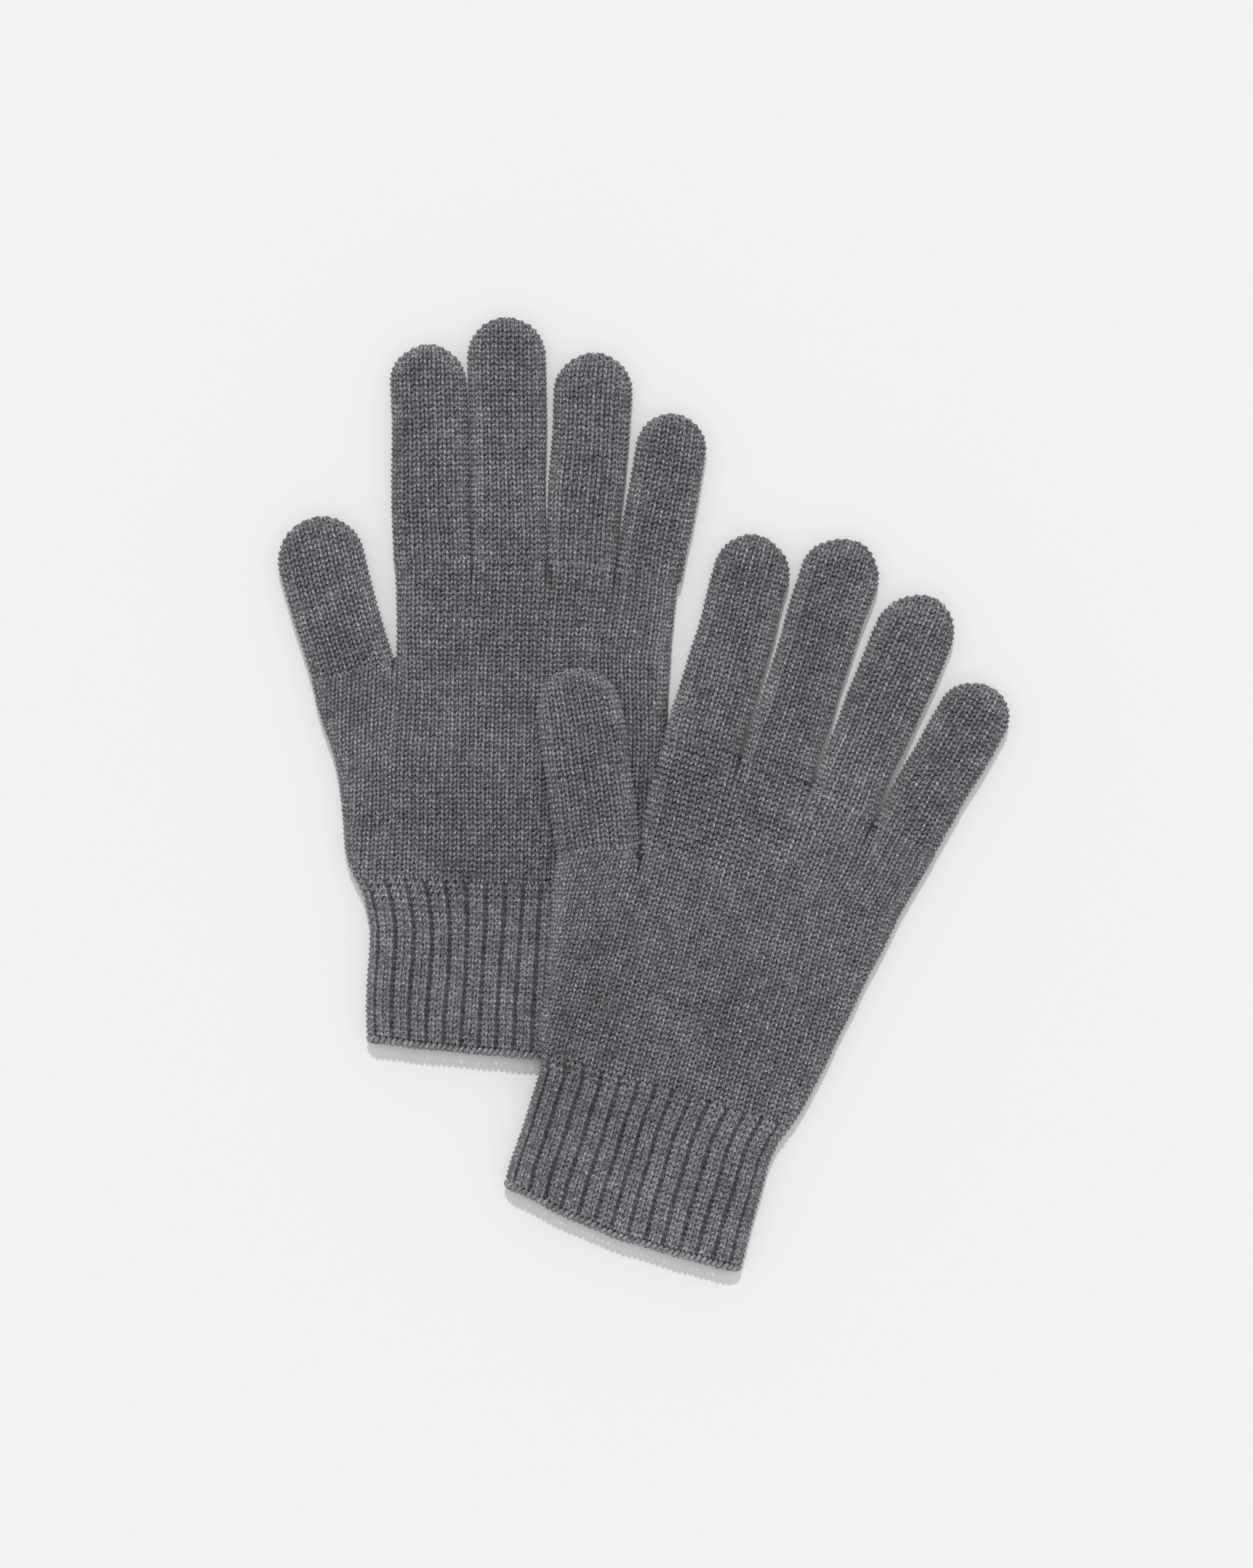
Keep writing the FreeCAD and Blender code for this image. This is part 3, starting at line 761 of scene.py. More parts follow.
class CuffTube(HandTube):
    """The ribbed cuff, from the wrist down to its bound-off edge."""

    def __init__(self, glove: "Glove", courses: int) -> None:
        """Keep the curve of the lower edge."""
        super().__init__(glove, CUFF_STATIONS[glove.side], WRIST_SEAM, RIB, courses)

    def top(self, across: Array) -> Array:
        """Height of the cuff's lower end, where the bound-off edge takes over."""
        return self.edge_line(across) + EDGE_BAND

    def edge_line(self, across: Array) -> Array:
        """Height of the cuff's lower edge."""
        thumb, middle, little = CUFF_LENGTHS[self.glove.side]
        share = across / CUFF_HALF
        return -(middle + (little - thumb) / 2 * share + ((thumb + little) / 2 - middle) * share**2)

    def stitch_ends(self, ring: Ring, share: float) -> Array:
        """Ribs run evenly round the tube."""
        return rib_ends(ring)

    def relief(self, ring: Ring, places: Array) -> Array:
        """Raised pairs of wales and sunk channels."""
        return rib_relief(ring, places)

    def stitch_points(self, ends: Array) -> Array:
        """Fewer points where a stitch lies deep in a channel."""
        return rib_points(ends)


TIP_TURN = math.radians(82.0)
FIRST_COURSE = 0.9
ROOT_SWELL = 0.4


class DigitTube(Tube):
    """A digit: straight sides from its base and a round, narrowed tip."""

    gauge = JERSEY

    def __init__(self, glove: "Glove", digit: Digit) -> None:
        """Keep the digit's sizes."""
        self.glove = glove
        self.root = BASE_WIDTH[digit] / 2 + ROOT_SWELL
        self.tip = TIP_RADIUS[digit]
        across, along, lean, self.reach = DIGIT_LAY[glove.side][digit]
        self.spot = np.array([across, along])
        self.lean = math.radians(lean)
        self.centre = self.reach - self.tip
        self.flat = self.reach - FABRIC.half
        self.path = self.flat + FABRIC.half * TIP_TURN
        self.courses = round(self.path / self.gauge.course)
        self.wales = flat_wales(digit)

    def height(self, share: float) -> float:
        """Place along of a course, which steps evenly over the round of the tip."""
        way = share * (self.path + FIRST_COURSE) - FIRST_COURSE
        if way < self.flat:
            return way
        return self.flat + FABRIC.half * math.sin((way - self.flat) / FABRIC.half)

    def half_width(self, along: Array) -> Array:
        """Half the digit's width at places along."""
        straight = self.root + (self.tip - self.root) * along / self.centre
        bow = np.sqrt(np.maximum(0.0, self.tip**2 - (along - self.centre) ** 2))
        return np.where(along < self.centre, straight, bow)

    def bounds(self, share: float) -> tuple[float, float]:
        """Both edges at a course."""
        half = float(self.half_width(np.array([self.height(share)]))[0])
        return -half, half

    def line(self, across: Array, share: float) -> Array:
        """Courses lie straight across."""
        return np.full_like(across, self.height(share))

    def pinch(self, across: Array, along: Array) -> tuple[Array, Array, Array]:
        """The nearest side, or the round of the tip."""
        slope = (self.tip - self.root) / self.centre
        size = math.hypot(1.0, slope)
        sign = np.where(across < 0, -1.0, 1.0)
        side = (self.half_width(along) - np.abs(across)) / size
        reach = np.maximum(np.hypot(across, along - self.centre), 1e-6)
        tip = along >= self.centre
        distance = np.where(tip, self.tip - reach, side)
        east = np.where(tip, -across / reach, -sign / size)
        north = np.where(tip, -(along - self.centre) / reach, slope / size)
        return np.clip(1.0 - distance / FABRIC.half, 0.0, 1.0), east, north

    def columns(self, share: float) -> Array:
        """Straight wales down the middle; the outer ones end as the tip narrows."""
        room = self.bounds(share)[1] - FABRIC.half
        step = 2 * (self.root - FABRIC.half) / self.wales
        places = (np.arange(self.wales + 1) - self.wales / 2) * step
        kept = places[np.abs(places) <= max(room, 0.0) + 0.3]
        return kept if len(kept) else np.zeros(1)

    def to_glove(self, points: Array) -> Array:
        """Turn by the digit's lean and move to its base."""
        sine, cosine = math.sin(self.lean), math.cos(self.lean)
        moved = points.copy()
        moved[:, 0] = self.spot[0] + points[:, 0] * cosine + points[:, 1] * sine
        moved[:, 1] = self.spot[1] - points[:, 0] * sine + points[:, 1] * cosine
        return moved


def flat_wales(digit: Digit) -> int:
    """Number of wales on the flat of a digit."""
    return round((BASE_WIDTH[digit] - 2 * FABRIC.half) / JERSEY.wale)


# ---------------------------------------------------------------------- knitting


STITCH_BAND = (0.0, 0.16, 1.0, 1.0)
SKIN_BANDS = ((0.0, 0.0, 1.0, 0.075), (0.0, 0.08, 1.0, 0.155))
SKIN_SAMPLES = 84
SKIN_DEPTHS = (0.85, 2.0)


def knit(tube: Tube, store: MeshStore, seed: int) -> None:
    """Knit a tube's courses.

    Args:
        tube: The tube to knit.
        store: Where the mesh is gathered.
        seed: For the small differences between stitches.
    """
    draw = np.random.default_rng(seed)
    gauge = tube.gauge
    left, low, right, high = STITCH_BAND
    band = (high - low) / tube.courses
    for number in range(tube.courses):
        share = (number + 0.5) / tube.courses
        ring = tube.ring(share)
        ends = tube.stitch_ends(ring, share)
        widths = np.diff(ends)
        counts = tube.stitch_points(ends)
        stitch = np.repeat(np.arange(len(widths)), counts)
        inside = np.concatenate([np.arange(count) / count for count in counts])
        turn = inside * math.tau
        wide = widths[stitch]
        uneven = draw.normal(0.0, 1.0, (4, len(widths)))[:, stitch] * (1.0 - np.cos(turn)) / 2.0
        places = ends[stitch] + wide * (inside + gauge.swing * np.sin(2 * turn)) + 0.09 * uneven[0]
        spots, normals, ups = ring.at(places)
        spread = np.clip(1.0 / np.maximum(ups[:, 1], 0.2), 1.0, 2.0)
        sunk_stitch = counts[stitch] < LOOP_POINTS
        rise = gauge.reach * np.cos(turn) * spread + 0.11 * uneven[1]
        depth = -gauge.sunk - gauge.weave * np.cos(2 * turn) + LEG_TILT * np.cos(turn)
        depth = np.where(sunk_stitch, -PURL_SUNK, depth) + 0.09 * uneven[2]
        relief = tube.relief(ring, places)
        path = spots + ups * rise[:, None] + normals * (depth + relief)[:, None]
        radius = gauge.yarn * (1.0 - 0.16 * np.cos(2 * turn)) * (1.0 + 0.07 * uneven[3])
        radius = radius * np.clip(wide / gauge.wale, 0.75, 1.12)
        floor = low + band * number
        # The depth given to the yarn sets its painted shade; the sunk stitches of the rib are painted darker
        # still.
        yarn(store, path, normals, radius, YARN_SIDES, True, draw.uniform(0.0, 400.0),
             (left, floor, right, floor + band * 0.94), depth - PURL_SHADE * sunk_stitch)


def skin(tube: Tube, store: MeshStore, closed_top: bool) -> None:
    """Add the felted layer behind the loops: an outer and an inner face, joined at the open ends.

    Args:
        tube: The tube to line.
        store: Where the mesh is gathered.
        closed_top: Whether the tube's upper end is shut.
    """
    shares = np.linspace(0.0, 1.0, max(6, tube.courses // 2))
    layers = []
    for depth in SKIN_DEPTHS:
        rings = []
        for share in shares:
            ring = tube.ring(float(share))
            places = np.linspace(0.0, ring.length, SKIN_SAMPLES, endpoint=False)
            spots, normals, _ = ring.at(places)
            pattern = tube.relief(ring, places) if depth == SKIN_DEPTHS[0] else 0.0 * places
            rings.append(spots + normals * (pattern - depth)[:, None])
        if closed_top:
            middle = rings[-1].mean(0)
            rings += [middle + (rings[-1] - middle) * shrink for shrink in (0.5, 0.01)]
        layers.append(rings)
    inner = layers[1][::-1]
    if closed_top:
        stacks = [layers[0], inner]
        rims = [[inner[-1], layers[0][0]]]
    else:
        stacks = [layers[0] + inner + [layers[0][0]]]
        rims = []
    for band, rings in zip(SKIN_BANDS, stacks):
        add_skin(store, rings, band)
    for rings in rims:
        add_skin(store, rings, (0.0, 0.156, 1.0, 0.159))


def add_skin(store: MeshStore, rings: list[Array], box: Box) -> None:
    """Join rings of points into one sheet.

    Args:
        store: Where the mesh is gathered.
        rings: The rings, in order.
        box: The sheet's part of the chart.
    """
    points = np.concatenate(rings)
    strand = points * 0.1
    faces = tube_faces(len(rings), SKIN_SAMPLES, False)[:, ::-1]
    chart = tube_chart(len(rings), SKIN_SAMPLES, False, box).reshape(-1, 4, 2)[:, ::-1].reshape(-1, 2)
    # The felted layer gets nought in the painted shade, so it is painted at its darkest, as the shade behind
    # the loops.
    store.add(points, faces, strand, np.zeros(len(points)), chart)


# ---------------------------------------------------------------------- finishes


class NodeSheet:
    """Adds nodes to a tree and links them, so that a finish reads as a list of steps."""

    def __init__(self, tree: bpy.types.NodeTree) -> None:
        """Keep the tree."""
        self.tree = tree

    def add(self, kind: str, inputs: dict | None = None, **settings: object) -> bpy.types.Node:
        """Add a node.

        Args:
            kind: The node's type.
            inputs: Values or output sockets for its inputs, by name or number.
            settings: Other settings of the node.

        Returns:
            The new node.
        """
        node = self.tree.nodes.new(kind)
        for name, value in settings.items():
            setattr(node, name, value)
        for name, value in (inputs or {}).items():
            if isinstance(value, bpy.types.NodeSocket):
                self.tree.links.new(value, node.inputs[name])
            else:
                node.inputs[name].default_value = value
        return node

    def sum(self, kind: str, first: object, second: object) -> bpy.types.NodeSocket:
        """A sum of two numbers, such as ADD or MULTIPLY."""
        return self.add("ShaderNodeMath", {0: first, 1: second}, operation=kind).outputs[0]

    def noise(self, place: object, scale: float, detail: float, rough: float = 0.5) -> bpy.types.NodeSocket:
        """Cloudy values about a half."""
        return self.add("ShaderNodeTexNoise", {
            "Vector": place, "Scale": scale, "Detail": detail, "Roughness": rough,
        }).outputs[0]

    def span(self, value: object, low: float, high: float) -> bpy.types.NodeSocket:
        """A value's place between two others, smoothed and cut to nought and one."""
        return self.add("ShaderNodeMapRange", {"Value": value, "From Min": low, "From Max": high},
                        interpolation_type="SMOOTHSTEP").outputs[0]

    def mix(self, share: object, first: object, second: object) -> bpy.types.NodeSocket:
        """A blend of two colours."""
        node = self.add("ShaderNodeMix", data_type="RGBA")
        for number, value in ((0, share), (6, first), (7, second)):
            if isinstance(value, bpy.types.NodeSocket):
                self.tree.links.new(value, node.inputs[number])
            else:
                node.inputs[number].default_value = value
        return node.outputs[2]


def melange_group() -> bpy.types.NodeTree:
    """The blend of pale and dark fibres in the wool, with painted light and shade laid over it, as a group that
    every yarn finish places.
    """
    name = "wool_melange"
    found = bpy.data.node_groups.get(name)
    if found:
        return found
    tree = bpy.data.node_groups.new(name, "ShaderNodeTree")
    for label, kind in (
        ("Strand", "NodeSocketVector"), ("Lay", "NodeSocketVector"), ("PaintedLight", "NodeSocketFloat"),
        ("Pale", "NodeSocketColor"), ("Mid", "NodeSocketColor"), ("Dark", "NodeSocketColor"),
        ("Patches", "NodeSocketFloat"),
    ):
        tree.interface.new_socket(label, in_out="INPUT", socket_type=kind)
    tree.interface.new_socket("Colour", in_out="OUTPUT", socket_type="NodeSocketColor")
    tree.interface.new_socket("Fibre", in_out="OUTPUT", socket_type="NodeSocketFloat")
    sheet = NodeSheet(tree)
    given = sheet.add("NodeGroupInput").outputs
    streak = sheet.noise(given["Strand"], 3.2, 3.0, 0.6)
    fleck = sheet.noise(given["Strand"], 8.0, 2.0)
    patch = sheet.noise(given["Lay"], 0.2, 3.0, 0.6)
    broad = sheet.noise(given["Lay"], 0.025, 1.0)
    tone = sheet.sum("ADD", sheet.sum("MULTIPLY", streak, 0.62), sheet.sum("MULTIPLY", fleck, 0.38))
    lay = sheet.sum("ADD", sheet.sum("MULTIPLY", patch, 0.75), sheet.sum("MULTIPLY", broad, 0.35))
    lay = sheet.sum("MULTIPLY", sheet.sum("SUBTRACT", lay, 0.55), given["Patches"])
    tone = sheet.sum("ADD", tone, lay)
    low = sheet.mix(sheet.span(tone, 0.38, 0.51), given["Dark"], given["Mid"])
    colour = sheet.mix(sheet.span(tone, 0.50, 0.63), low, given["Pale"])
    # Painted light and shade: the colour is scaled from about a quarter where the yarn lies deep or is the
    # felted layer, up past its own value on the outer tops.
    shade = sheet.add("ShaderNodeMapRange", {"Value": given["PaintedLight"], "To Min": 0.24, "To Max": 1.22})
    dimmed = sheet.add("ShaderNodeVectorMath", {0: colour, "Scale": shade.outputs[0]}, operation="SCALE")
    fine = sheet.noise(given["Strand"], 16.0, 2.0, 0.7)
    sheet.add("NodeGroupOutput", {"Colour": dimmed.outputs[0], "Fibre": fine})
    return tree


Colour = tuple[float, float, float]


@dataclass(frozen=True)
class WoolFinish:
    """A yarn's finish.

    Attributes:
        name: The material's name.
        pale: Colour of the pale fibres.
        mid: Colour between the two.
        dark: Colour of the dark fibres.
        patches: How uneven the blend is over the fabric.
        roughness: Roughness of the yarn.
        sheen: Strength of the soft rim of light that fine fibres give.
        fuzz: Height of the fibres' own relief, in millimetres.
    """

    name: str
    pale: Colour
    mid: Colour
    dark: Colour
    patches: float = 0.16
    roughness: float = 0.92
    sheen: float = 0.12
    fuzz: float = 0.25

    def material(self) -> bpy.types.Material:
        """The finish as a material, made once."""
        found = bpy.data.materials.get(self.name)
        if found:
            return found
        material = bpy.data.materials.new(self.name)
        material.use_nodes = True
        tree = material.node_tree
        tree.nodes.clear()
        sheet = NodeSheet(tree)
        strand, lay, painted_light = (
            sheet.add("ShaderNodeAttribute", attribute_name=label) for label in ("strand", "lay", "painted_light")
        )
        group = sheet.add("ShaderNodeGroup", node_tree=melange_group())
        for label, value in (("Pale", self.pale), ("Mid", self.mid), ("Dark", self.dark)):
            group.inputs[label].default_value = (*value, 1.0)
        group.inputs["Patches"].default_value = self.patches
        tree.links.new(strand.outputs["Vector"], group.inputs["Strand"])
        tree.links.new(lay.outputs["Vector"], group.inputs["Lay"])
        tree.links.new(painted_light.outputs["Fac"], group.inputs["PaintedLight"])
        bump = sheet.add("ShaderNodeBump", {
            "Strength": 0.6, "Distance": self.fuzz * MM, "Height": group.outputs["Fibre"],
        })
        shader = sheet.add("ShaderNodeBsdfPrincipled", {
            "Base Color": group.outputs["Colour"], "Normal": bump.outputs[0],
            "Roughness": self.roughness, "Specular IOR Level": 0.15, "Sheen Weight": self.sheen,
            "Sheen Roughness": 0.45,
        })
        sheet.add("ShaderNodeOutputMaterial", {"Surface": shader.outputs[0]})
        return material


def grey(value: float) -> Colour:
    """A grey with the wool's faint violet cast."""
    return value * 0.985, value * 0.975, value * 1.045


JERSEY_WOOL = WoolFinish("jersey_wool", grey(0.60), grey(0.20), grey(0.055))
RIB_WOOL = WoolFinish("rib_wool", grey(0.57), grey(0.19), grey(0.053))
EDGE_WOOL = WoolFinish("edge_wool", grey(0.50), grey(0.21), grey(0.08))
THREAD_WOOL = WoolFinish("thread_wool", grey(0.34), grey(0.18), grey(0.08), fuzz=0.12)
ELASTIC_YARN = WoolFinish("elastic_yarn", grey(0.62), grey(0.5), grey(0.34), roughness=0.6,
                          sheen=0.05, fuzz=0.08)


# ---------------------------------------------------------------------- the gloves


@dataclass(frozen=True)
class Fold:
    """A shallow dent in the upper layer along a line on the table.

    Attributes:
        points: The line.
        depth: Depth at its middle.
        width: Distance at which it has all but gone.
    """

    points: tuple[tuple[float, float], ...]
    depth: float
    width: float

    def sink(self, across: Array, along: Array) -> Array:
        """Depth of the dent at places on the table."""
        total = np.zeros_like(across)
        nearest = np.full(across.shape, np.inf)
        spans = len(self.points) - 1
        for number, (start, end) in enumerate(zip(self.points, self.points[1:])):
            run = (end[0] - start[0], end[1] - start[1])
            step = (across - start[0], along - start[1])
            way = (run[0] * step[0] + run[1] * step[1]) / (run[0] ** 2 + run[1] ** 2)
            share = np.clip(way, 0, 1)
            away = np.hypot(step[0] - share * run[0], step[1] - share * run[1])
            fade = np.sin(math.pi * (number + share) / spans)
            closer = away < nearest
            total = np.where(closer, np.exp(-((away / self.width) ** 2)) * fade, total)
            nearest = np.minimum(nearest, away)
        return total * self.depth


FOLDS = {
    Side.RIGHT: (
        Fold(((-70.0, -20.0), (-62.0, 18.0), (-66.0, 45.0)), 0.7, 4.0),
        Fold(((-30.0, 40.0), (-34.0, 68.0)), 0.5, 3.5),
        Fold(((-50.0, -28.6), (-39.0, -28.3), (-27.0, -27.0)), 1.3, 1.8),
    ),
    Side.LEFT: (
        Fold(((-5.7, 34.3), (-1.5, -15.2), (2.6, -72.3)), 1.3, 2.6),
        Fold(((40.0, -70.0), (46.0, -35.0), (58.0, -8.0)), 0.5, 5.0),
    ),
}

CREASE_WALES = 3
THUMB_WALES = 14
SIDE_WALES = 3
CREASE_RUN = 17.0
THUMB_CREASE_RUN = 16.0
DIGIT_BEND = 9.0
CUFF_BEND = 10.0
ELASTIC_COUNT = 3
ELASTIC_FIRST = 24.0
ELASTIC_SPACING = 7.0
CROTCH_INSET = 2.2
THUMB_THREAD_STEP = (-4.5, -5.5)
TIP_THREAD_HALF = 5.5
THREAD_RADIUS = 0.5


class Glove:
    """One glove: its lay, the lines its parts share, and its knitted pieces."""

    def __init__(self, side: Side) -> None:
        """Keep the lay and work out where the digits part."""
        self.side = side
        self.east, self.north, lean = GLOVE_LAY[side]
        self.lean = math.radians(lean)
        self.seed = 100 if side is Side.RIGHT else 200
        crotches = []
        for digit, neighbour in zip(FINGERS, FINGERS[1:]):
            spot = (self.mouth_corners(digit)[1] + self.mouth_corners(neighbour)[0]) / 2
            crotches.append((spot, unit(self.heading(digit) + self.heading(neighbour)), CREASE_RUN))
        start, run = self.mouth_line(Digit.THUMB)
        self.thumb_crotch = start + run * (BASE_WIDTH[Digit.THUMB] / 2 + FABRIC.gap)
        outward = unit(self.heading(Digit.THUMB) + np.array([0.0, 1.0]))
        crotches.append((self.thumb_crotch, outward, THUMB_CREASE_RUN))
        self.creases = [Crease(*crotch) for crotch in crotches]
        self.flat_wales = sum(flat_wales(digit) for digit in FINGERS) + CREASE_WALES * (len(FINGERS) - 1)
        self.spare_wales = THUMB_WALES
        self.pieces: list[bpy.types.Object] = []

    # ------------------------------------------------------------------ lay

    def heading(self, digit: Digit) -> Array:
        """Direction of a digit in the glove's frame."""
        lean = math.radians(DIGIT_LAY[self.side][digit][2])
        return np.array([math.sin(lean), math.cos(lean)])

    def mouth_line(self, digit: Digit) -> tuple[Array, Array]:
        """Middle and direction of the hand's edge below a digit."""
        heading = self.heading(digit)
        spot = np.array(DIGIT_LAY[self.side][digit][:2]) - heading * FABRIC.gap
        return spot, np.array([heading[1], -heading[0]])

    def mouth_corners(self, digit: Digit) -> tuple[Array, Array]:
        """Both ends of the hand's edge below a digit, thumb side first."""
        spot, run = self.mouth_line(digit)
        return spot - run * BASE_WIDTH[digit] / 2, spot + run * BASE_WIDTH[digit] / 2

    def wale_lines(self, share: float) -> Array:
        """Places across of the hand's wales: even where the palm is split, gathered to the fingers above."""
        stations = UPPER_STATIONS[self.side]
        first, last = stations[0][1] + FABRIC.half, stations[0][2] - FABRIC.half
        step = (last - first) / self.flat_wales
        even = first + step * np.arange(-THUMB_WALES, self.flat_wales + SIDE_WALES + 1)
        if share <= 0.0:
            return even
        gathered: list[float] = []
        for digit in FINGERS:
            count = flat_wales(digit)
            spot, run = self.mouth_line(digit)
            pitch = (BASE_WIDTH[digit] - 2 * FABRIC.half) / count * run[0]
            places = [spot[0] + (number - count / 2) * pitch for number in range(count + 1)]
            if gathered:
                before = gathered[-1]
                gathered += [before + (places[0] - before) * number / CREASE_WALES
                             for number in range(1, CREASE_WALES)]
            gathered += places
        before = gathered[0] + step * np.arange(-THUMB_WALES, 0)
        after = gathered[-1] + step * np.arange(1, SIDE_WALES + 1)
        return even + (np.concatenate([before, gathered, after]) - even) * share

    def to_table(self, across: Array, along: Array) -> tuple[Array, Array]:
        """Places on the table of places in the glove's frame."""
        sine, cosine = math.sin(self.lean), math.cos(self.lean)
        return (self.east + across * cosine + along * sine, self.north - across * sine + along * cosine)

    def height(self, across: Array, along: Array) -> Array:
        """Height of the glove's underside at places on the table."""
        if self.side is Side.RIGHT:
            return np.zeros_like(across)
        return FABRIC.rise * (1.0 - smoothstep(shelf_distance(across, along) / FABRIC.drape))

    def settle(self, points: Array) -> Array:
        """Let the fabric lie: small drifts of the stitches, soft dents, folds, and the drape.

        Args:
            points: Points in the glove's frame, up from the middle of the tube.

        Returns:
            Points in the frame, in metres.
        """
        across, along, up = points.T
        drift_across = 0.32 * waves(across, along, self.seed + 1, 70.0, 16.0)
        drift_along = 0.28 * waves(across, along, self.seed + 2, 60.0, 14.0)
        east, north = self.to_table(across + drift_across, along + drift_along)
        layer = smoothstep(up / FABRIC.half)
        sink = 0.32 + 0.26 * waves(across, along, self.seed + 3, 48.0, 13.0)
        for fold in FOLDS[self.side]:
            sink = sink + fold.sink(east, north)
        high = up - layer * sink + FABRIC.half + self.height(east, north)
        return np.stack([east, north, high], -1) * MM

    def spot(self, across: float, along: float) -> tuple[float, float, float]:
        """A place in the glove's frame as a point of the frame, half way up the tube."""
        east, north = self.to_table(np.array([across]), np.array([along]))
        high = self.height(east, north) + FABRIC.half
        return float(east[0]) * MM, float(north[0]) * MM, float(high[0]) * MM

    # ------------------------------------------------------------------ pieces

    @property
    def hand_body(self) -> str:
        """Body that the palm belongs to."""
        return f"{self.side.value}_hand"

    @property
    def cuff_body(self) -> str:
        """Body that the cuff belongs to: the right one is held down and has no hinge."""
        return "left_cuff" if self.side is Side.LEFT else self.hand_body

    def finish(self, store: MeshStore, tube: Tube, name: str, node: str,
               wool: WoolFinish) -> bpy.types.Object:
        """Make a piece's mesh, dress it and let it stand for its CAD node.

        Args:
            store: The gathered mesh.
            tube: The tube whose frame the mesh is in.
            name: The piece's name after the glove's.
            node: The CAD node's name after the glove's.
            wool: The finish.

        Returns:
            The piece.
        """
        points = tube.to_glove(np.concatenate(store.points))
        item = store.make(f"{self.side.value}_{name}", self.settle(points))
        item.data.materials.append(wool.material())
        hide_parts(f"{self.side.value}_{node}")
        self.pieces.append(item)
        LOG.info("%s: %d faces", item.name, len(item.data.polygons))
        return item

    def knitted(self, tube: Tube, name: str, node: str, wool: WoolFinish,
                closed_top: bool = False) -> bpy.types.Object:
        """A knitted piece with its felted layer."""
        store = MeshStore()
        knit(tube, store, self.seed + 10 + len(self.pieces))
        skin(tube, store, closed_top)
        return self.finish(store, tube, name, node, wool)

    def hand(self) -> None:
        """The palm and back, in three stretches that meet between two courses, and its ribbed start."""
        stretch = (PALM_SPLIT - RIB_TOP) / JERSEY.course
        halfway = (THUMB_ZONE - RIB_TOP) / (PALM_SPLIT - RIB_TOP)
        lower_count = round(stretch * halfway)
        wrist = WristTube(self, LOWER_STATIONS[self.side], WRIST_SEAM, RIB, round(RIB_TOP / RIB.course))
        lower = LowerHandTube(self, 0.0, halfway, lower_count)
        middle = LowerHandTube(self, halfway, 1.0, round(stretch) - lower_count)
        reach = float(np.mean([DIGIT_LAY[self.side][digit][1] for digit in FINGERS])) - PALM_SPLIT
        upper = UpperHandTube(self, round(reach / JERSEY.course))
        for tube, name, node, slot, wool in (
            (wrist, "wrist_ribbing", "lower_hand", "rib_knit", RIB_WOOL),
            (lower, "lower_palm", "lower_hand", "jersey_knit", JERSEY_WOOL),
            (middle, "thumb_level_palm", "lower_hand", "jersey_knit", JERSEY_WOOL),
            (upper, "upper_palm", "upper_hand", "jersey_knit", JERSEY_WOOL),
        ):
            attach(self.knitted(tube, name, node, wool), self.hand_body)

    def digit(self, digit: Digit) -> None:
        """A digit and the thread that closes its tip."""
        body = f"{self.side.value}_{digit.value}" + ("" if digit is Digit.THUMB else "_finger")
        tube = DigitTube(self, digit)
        name = body.split("_", 1)[1]
        piece = self.knitted(tube, f"{name}_knit", name, JERSEY_WOOL, closed_top=True)
        base = tube.spot
        beyond = base + self.heading(digit) * DIGIT_BEND
        start, end = self.spot(*base), self.spot(*beyond)
        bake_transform(piece)
        store = MeshStore()
        bow = tube.tip - FABRIC.wall - THREAD_RADIUS - 0.1
        reach = math.asin(TIP_THREAD_HALF / bow)
        turn = np.linspace(-reach, reach, 25)
        path = np.stack([bow * np.sin(turn), tube.centre + bow * np.cos(turn), 0.25 * np.sin(turn * 24)], -1)
        free_yarn(store, path, np.array([0.0, 0.0, 1.0]), THREAD_RADIUS, 7.0, (0.0, 0.0, 1.0, 1.0))
        thread = self.finish(store, tube, f"{digit.value}_closing_thread", f"{digit.value}_tip_thread",
                             THREAD_WOOL)
        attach(thread, body)

    def crotch_threads(self) -> None:
        """The few turns of thread that close the small holes between the digits."""
        store = MeshStore()
        spots = [crease.spot - crease.heading * CROTCH_INSET for crease in self.creases[:-1]]
        spots.append(self.thumb_crotch + np.array(THUMB_THREAD_STEP))
        for number, spot in enumerate(spots):
            turn = np.linspace(0.0, 4 * math.tau, 65)
            high = np.linspace(-1.0, 1.0, 65) * (FABRIC.cavity / 2 - 0.4)
            path = np.stack([spot[0] + 0.42 * np.cos(turn), spot[1] + 0.42 * np.sin(turn), high], -1)
            low = number / len(spots)
            free_yarn(store, path, np.array([0.0, 1.0, 0.02]), 0.4, 11.0 * number,
                      (0.0, low, 1.0, low + 0.2))
        tube = WristTube(self, LOWER_STATIONS[self.side], 0.0, RIB, 1)
        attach(self.finish(store, tube, "crotch_closing_threads", "crotch_threads",
                            THREAD_WOOL), self.hand_body)

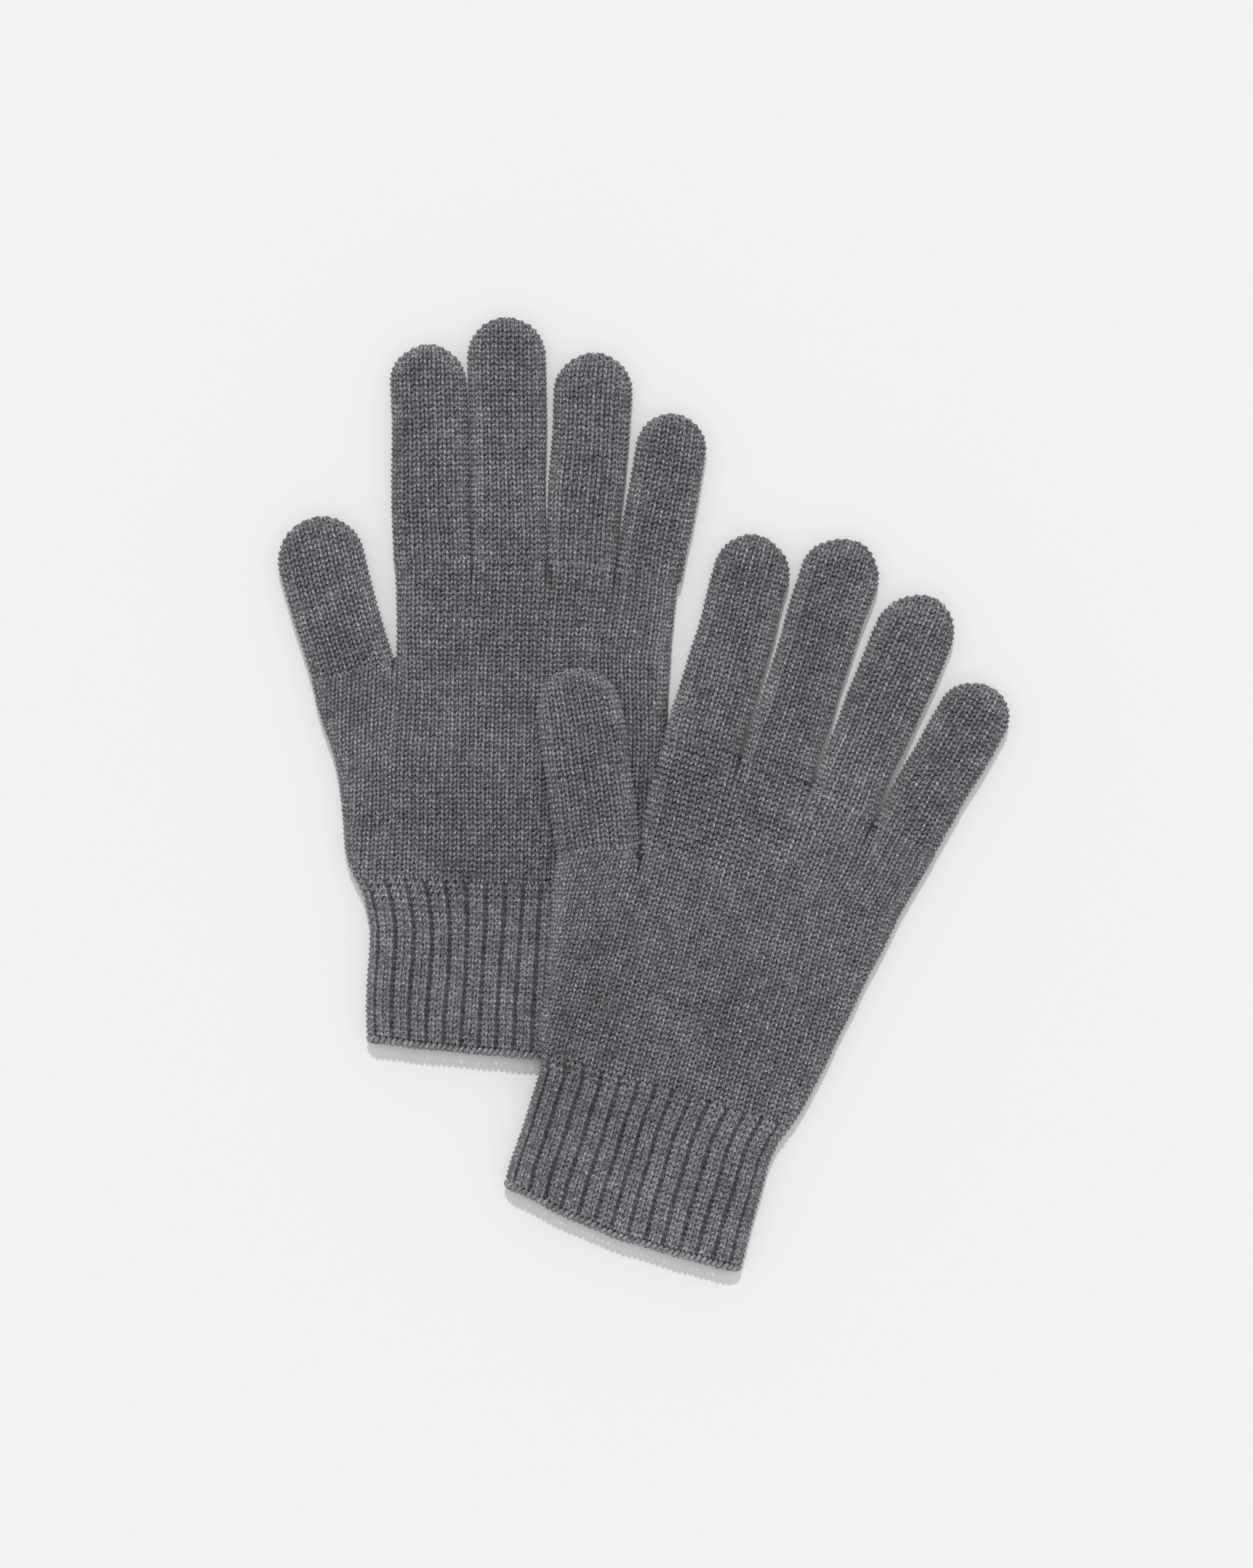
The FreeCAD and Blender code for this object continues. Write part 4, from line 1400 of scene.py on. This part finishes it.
    def cuff(self) -> None:
        """The ribbed cuff, its bound-off edge and the elastic threads laid into it."""
        tube = CuffTube(self, round((CUFF_LENGTHS[self.side][1] - EDGE_BAND) / RIB.course))
        piece = self.knitted(tube, "cuff_ribbing", "cuff", RIB_WOOL)
        if self.cuff_body == self.hand_body:
            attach(piece, self.hand_body)
        else:
            start, end = self.spot(0.0, 0.0), self.spot(0.0, -CUFF_BEND)
            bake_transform(piece)
        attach(self.bound_edge(tube), self.cuff_body)
        store = MeshStore()
        for number in range(ELASTIC_COUNT):
            along = -(ELASTIC_FIRST + ELASTIC_SPACING * number)
            share = along / float(tube.top(np.zeros(1))[0])
            ring = tube.ring(share)
            places = np.linspace(0.0, ring.length, 180, endpoint=False)
            spots, normals, _ = ring.at(places)
            wave = 0.12 * np.sin(places * 2.1)
            path = spots - normals * (2.35 + wave)[:, None]
            low = number / ELASTIC_COUNT
            yarn(store, path, normals, np.full(len(path), 0.38), THREAD_SIDES, True, 31.0 * number,
                 (0.0, low, 1.0, low + 0.3))
        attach(self.finish(store, tube, "cuff_elastic_threads", "cuff_elastic", ELASTIC_YARN),
                self.cuff_body)

    def bound_edge(self, tube: CuffTube) -> bpy.types.Object:
        """The bound-off edge: one yarn wound over the ends of the ribs, a turn to each wale."""
        edge = BoundEdgeTube(self)
        ring = edge.ring(1.0)
        turns = round(ring.length / EDGE_TURN)
        count = turns * EDGE_POINTS
        places = np.linspace(0.0, ring.length, count, endpoint=False)
        spots, normals, ups = ring.at(places)
        turn = np.arange(count) * math.tau / EDGE_POINTS
        draw = np.random.default_rng(self.seed + 5)
        swell = np.repeat(draw.normal(1.0, 0.07, turns), EDGE_POINTS)
        swell = (swell + np.roll(swell, 2) + np.roll(swell, -2)) / 3.0
        out = -1.05 + 0.62 * np.cos(turn) * swell
        rise = 0.72 * np.sin(turn) * swell
        path = spots + normals * out[:, None] + ups * rise[:, None]
        store = MeshStore()
        yarn(store, path, normals, 0.66 * swell, 7, True, 3.0, (0.0, 0.0, 1.0, 1.0))
        return self.finish(store, edge, "cuff_bound_edge", "cuff_edge", EDGE_WOOL)

    def build(self) -> None:
        """Make every piece of the glove."""
        self.hand()
        for digit in Digit:
            self.digit(digit)
        self.crotch_threads()
        self.cuff()


EDGE_TURN = 1.9
EDGE_POINTS = 10


class BoundEdgeTube(CuffTube):
    """The line that the bound-off edge is wound along."""

    def __init__(self, glove: Glove) -> None:
        """Take the cuff's shape."""
        super().__init__(glove, 1)

    def top(self, across: Array) -> Array:
        """The middle of the edge band."""
        return self.edge_line(across) + EDGE_BAND / 2


# ---------------------------------------------------------------------- table, light and camera


@dataclass(frozen=True)
class Studio:
    """The pale table, the light and the camera.

    Attributes:
        centre: Middle of the view on the table, in millimetres.
        tall: Height of the view at the level of the gloves, in millimetres.
        lens: Focal length.
        level: Height at which the view is measured, in millimetres.
    """

    centre: tuple[float, float] = (-5.3, 3.7)
    tall: float = 510.9
    lens: float = 100.0
    level: float = 7.0

    def floor(self) -> None:
        """A wide pale table."""
        material = bpy.data.materials.new("table_paint")
        material.use_nodes = True
        shader = material.node_tree.nodes["Principled BSDF"]
        shader.inputs["Base Color"].default_value = (0.9, 0.9, 0.9, 1.0)
        shader.inputs["Roughness"].default_value = 0.9
        shader.inputs["Specular IOR Level"].default_value = 0.1
        mesh = bpy.data.meshes.new("table")
        half = 6.0
        corners = [(-half, -half), (half, -half), (half, half), (-half, half)]
        mesh.from_pydata([(*corner, -0.0005) for corner in corners], [], [(0, 1, 2, 3)])
        mesh.materials.append(material)
        item = bpy.data.objects.new("table", mesh)
        bpy.context.scene.collection.objects.link(item)

    def light(self) -> None:
        """Even light from all round, a soft one from above and a crisper one from beyond the fingertips."""
        world = bpy.data.worlds.new("studio")
        bpy.context.scene.world = world
        world.use_nodes = True
        back = world.node_tree.nodes["Background"]
        back.inputs["Color"].default_value = (1.0, 1.0, 1.0, 1.0)
        back.inputs["Strength"].default_value = 0.52
        for name, energy, angle, toward in (
            ("key", 1.1, 3.0, (0.0, 0.60, 0.86)), ("fill", 0.60, 25.0, (0.0, 0.1, 1.0)),
        ):
            lamp = bpy.data.lights.new(name, "SUN")
            lamp.energy = energy
            lamp.angle = math.radians(angle)
            item = bpy.data.objects.new(name, lamp)
            bpy.context.scene.collection.objects.link(item)
            item.rotation_mode = "QUATERNION"
            item.rotation_quaternion = Vector(toward).to_track_quat("Z", "Y")

    def camera(self) -> None:
        """A long lens straight above the gloves."""
        lens = bpy.data.cameras.new("camera")
        lens.lens = self.lens
        lens.sensor_width = 36.0
        lens.clip_end = 50.0
        item = bpy.data.objects.new("camera", lens)
        bpy.context.scene.collection.objects.link(item)
        distance = self.tall * self.lens / lens.sensor_width
        item.location = (self.centre[0] * MM, self.centre[1] * MM, (distance + self.level) * MM)
        bpy.context.scene.camera = item

    def build(self) -> None:
        """Set everything up."""
        self.floor()
        self.light()
        self.camera()
        bpy.context.scene.view_settings.view_transform = "Standard"


def main() -> None:
    """Build the studio and both gloves."""
    logging.basicConfig(level=logging.INFO, format="%(name)s: %(message)s")
    Studio().build()
    for side in Side:
        glove = Glove(side)
        glove.build()
        LOG.info("%s glove: %d pieces", side.value, len(glove.pieces))


if __name__ == "__main__":
    main()
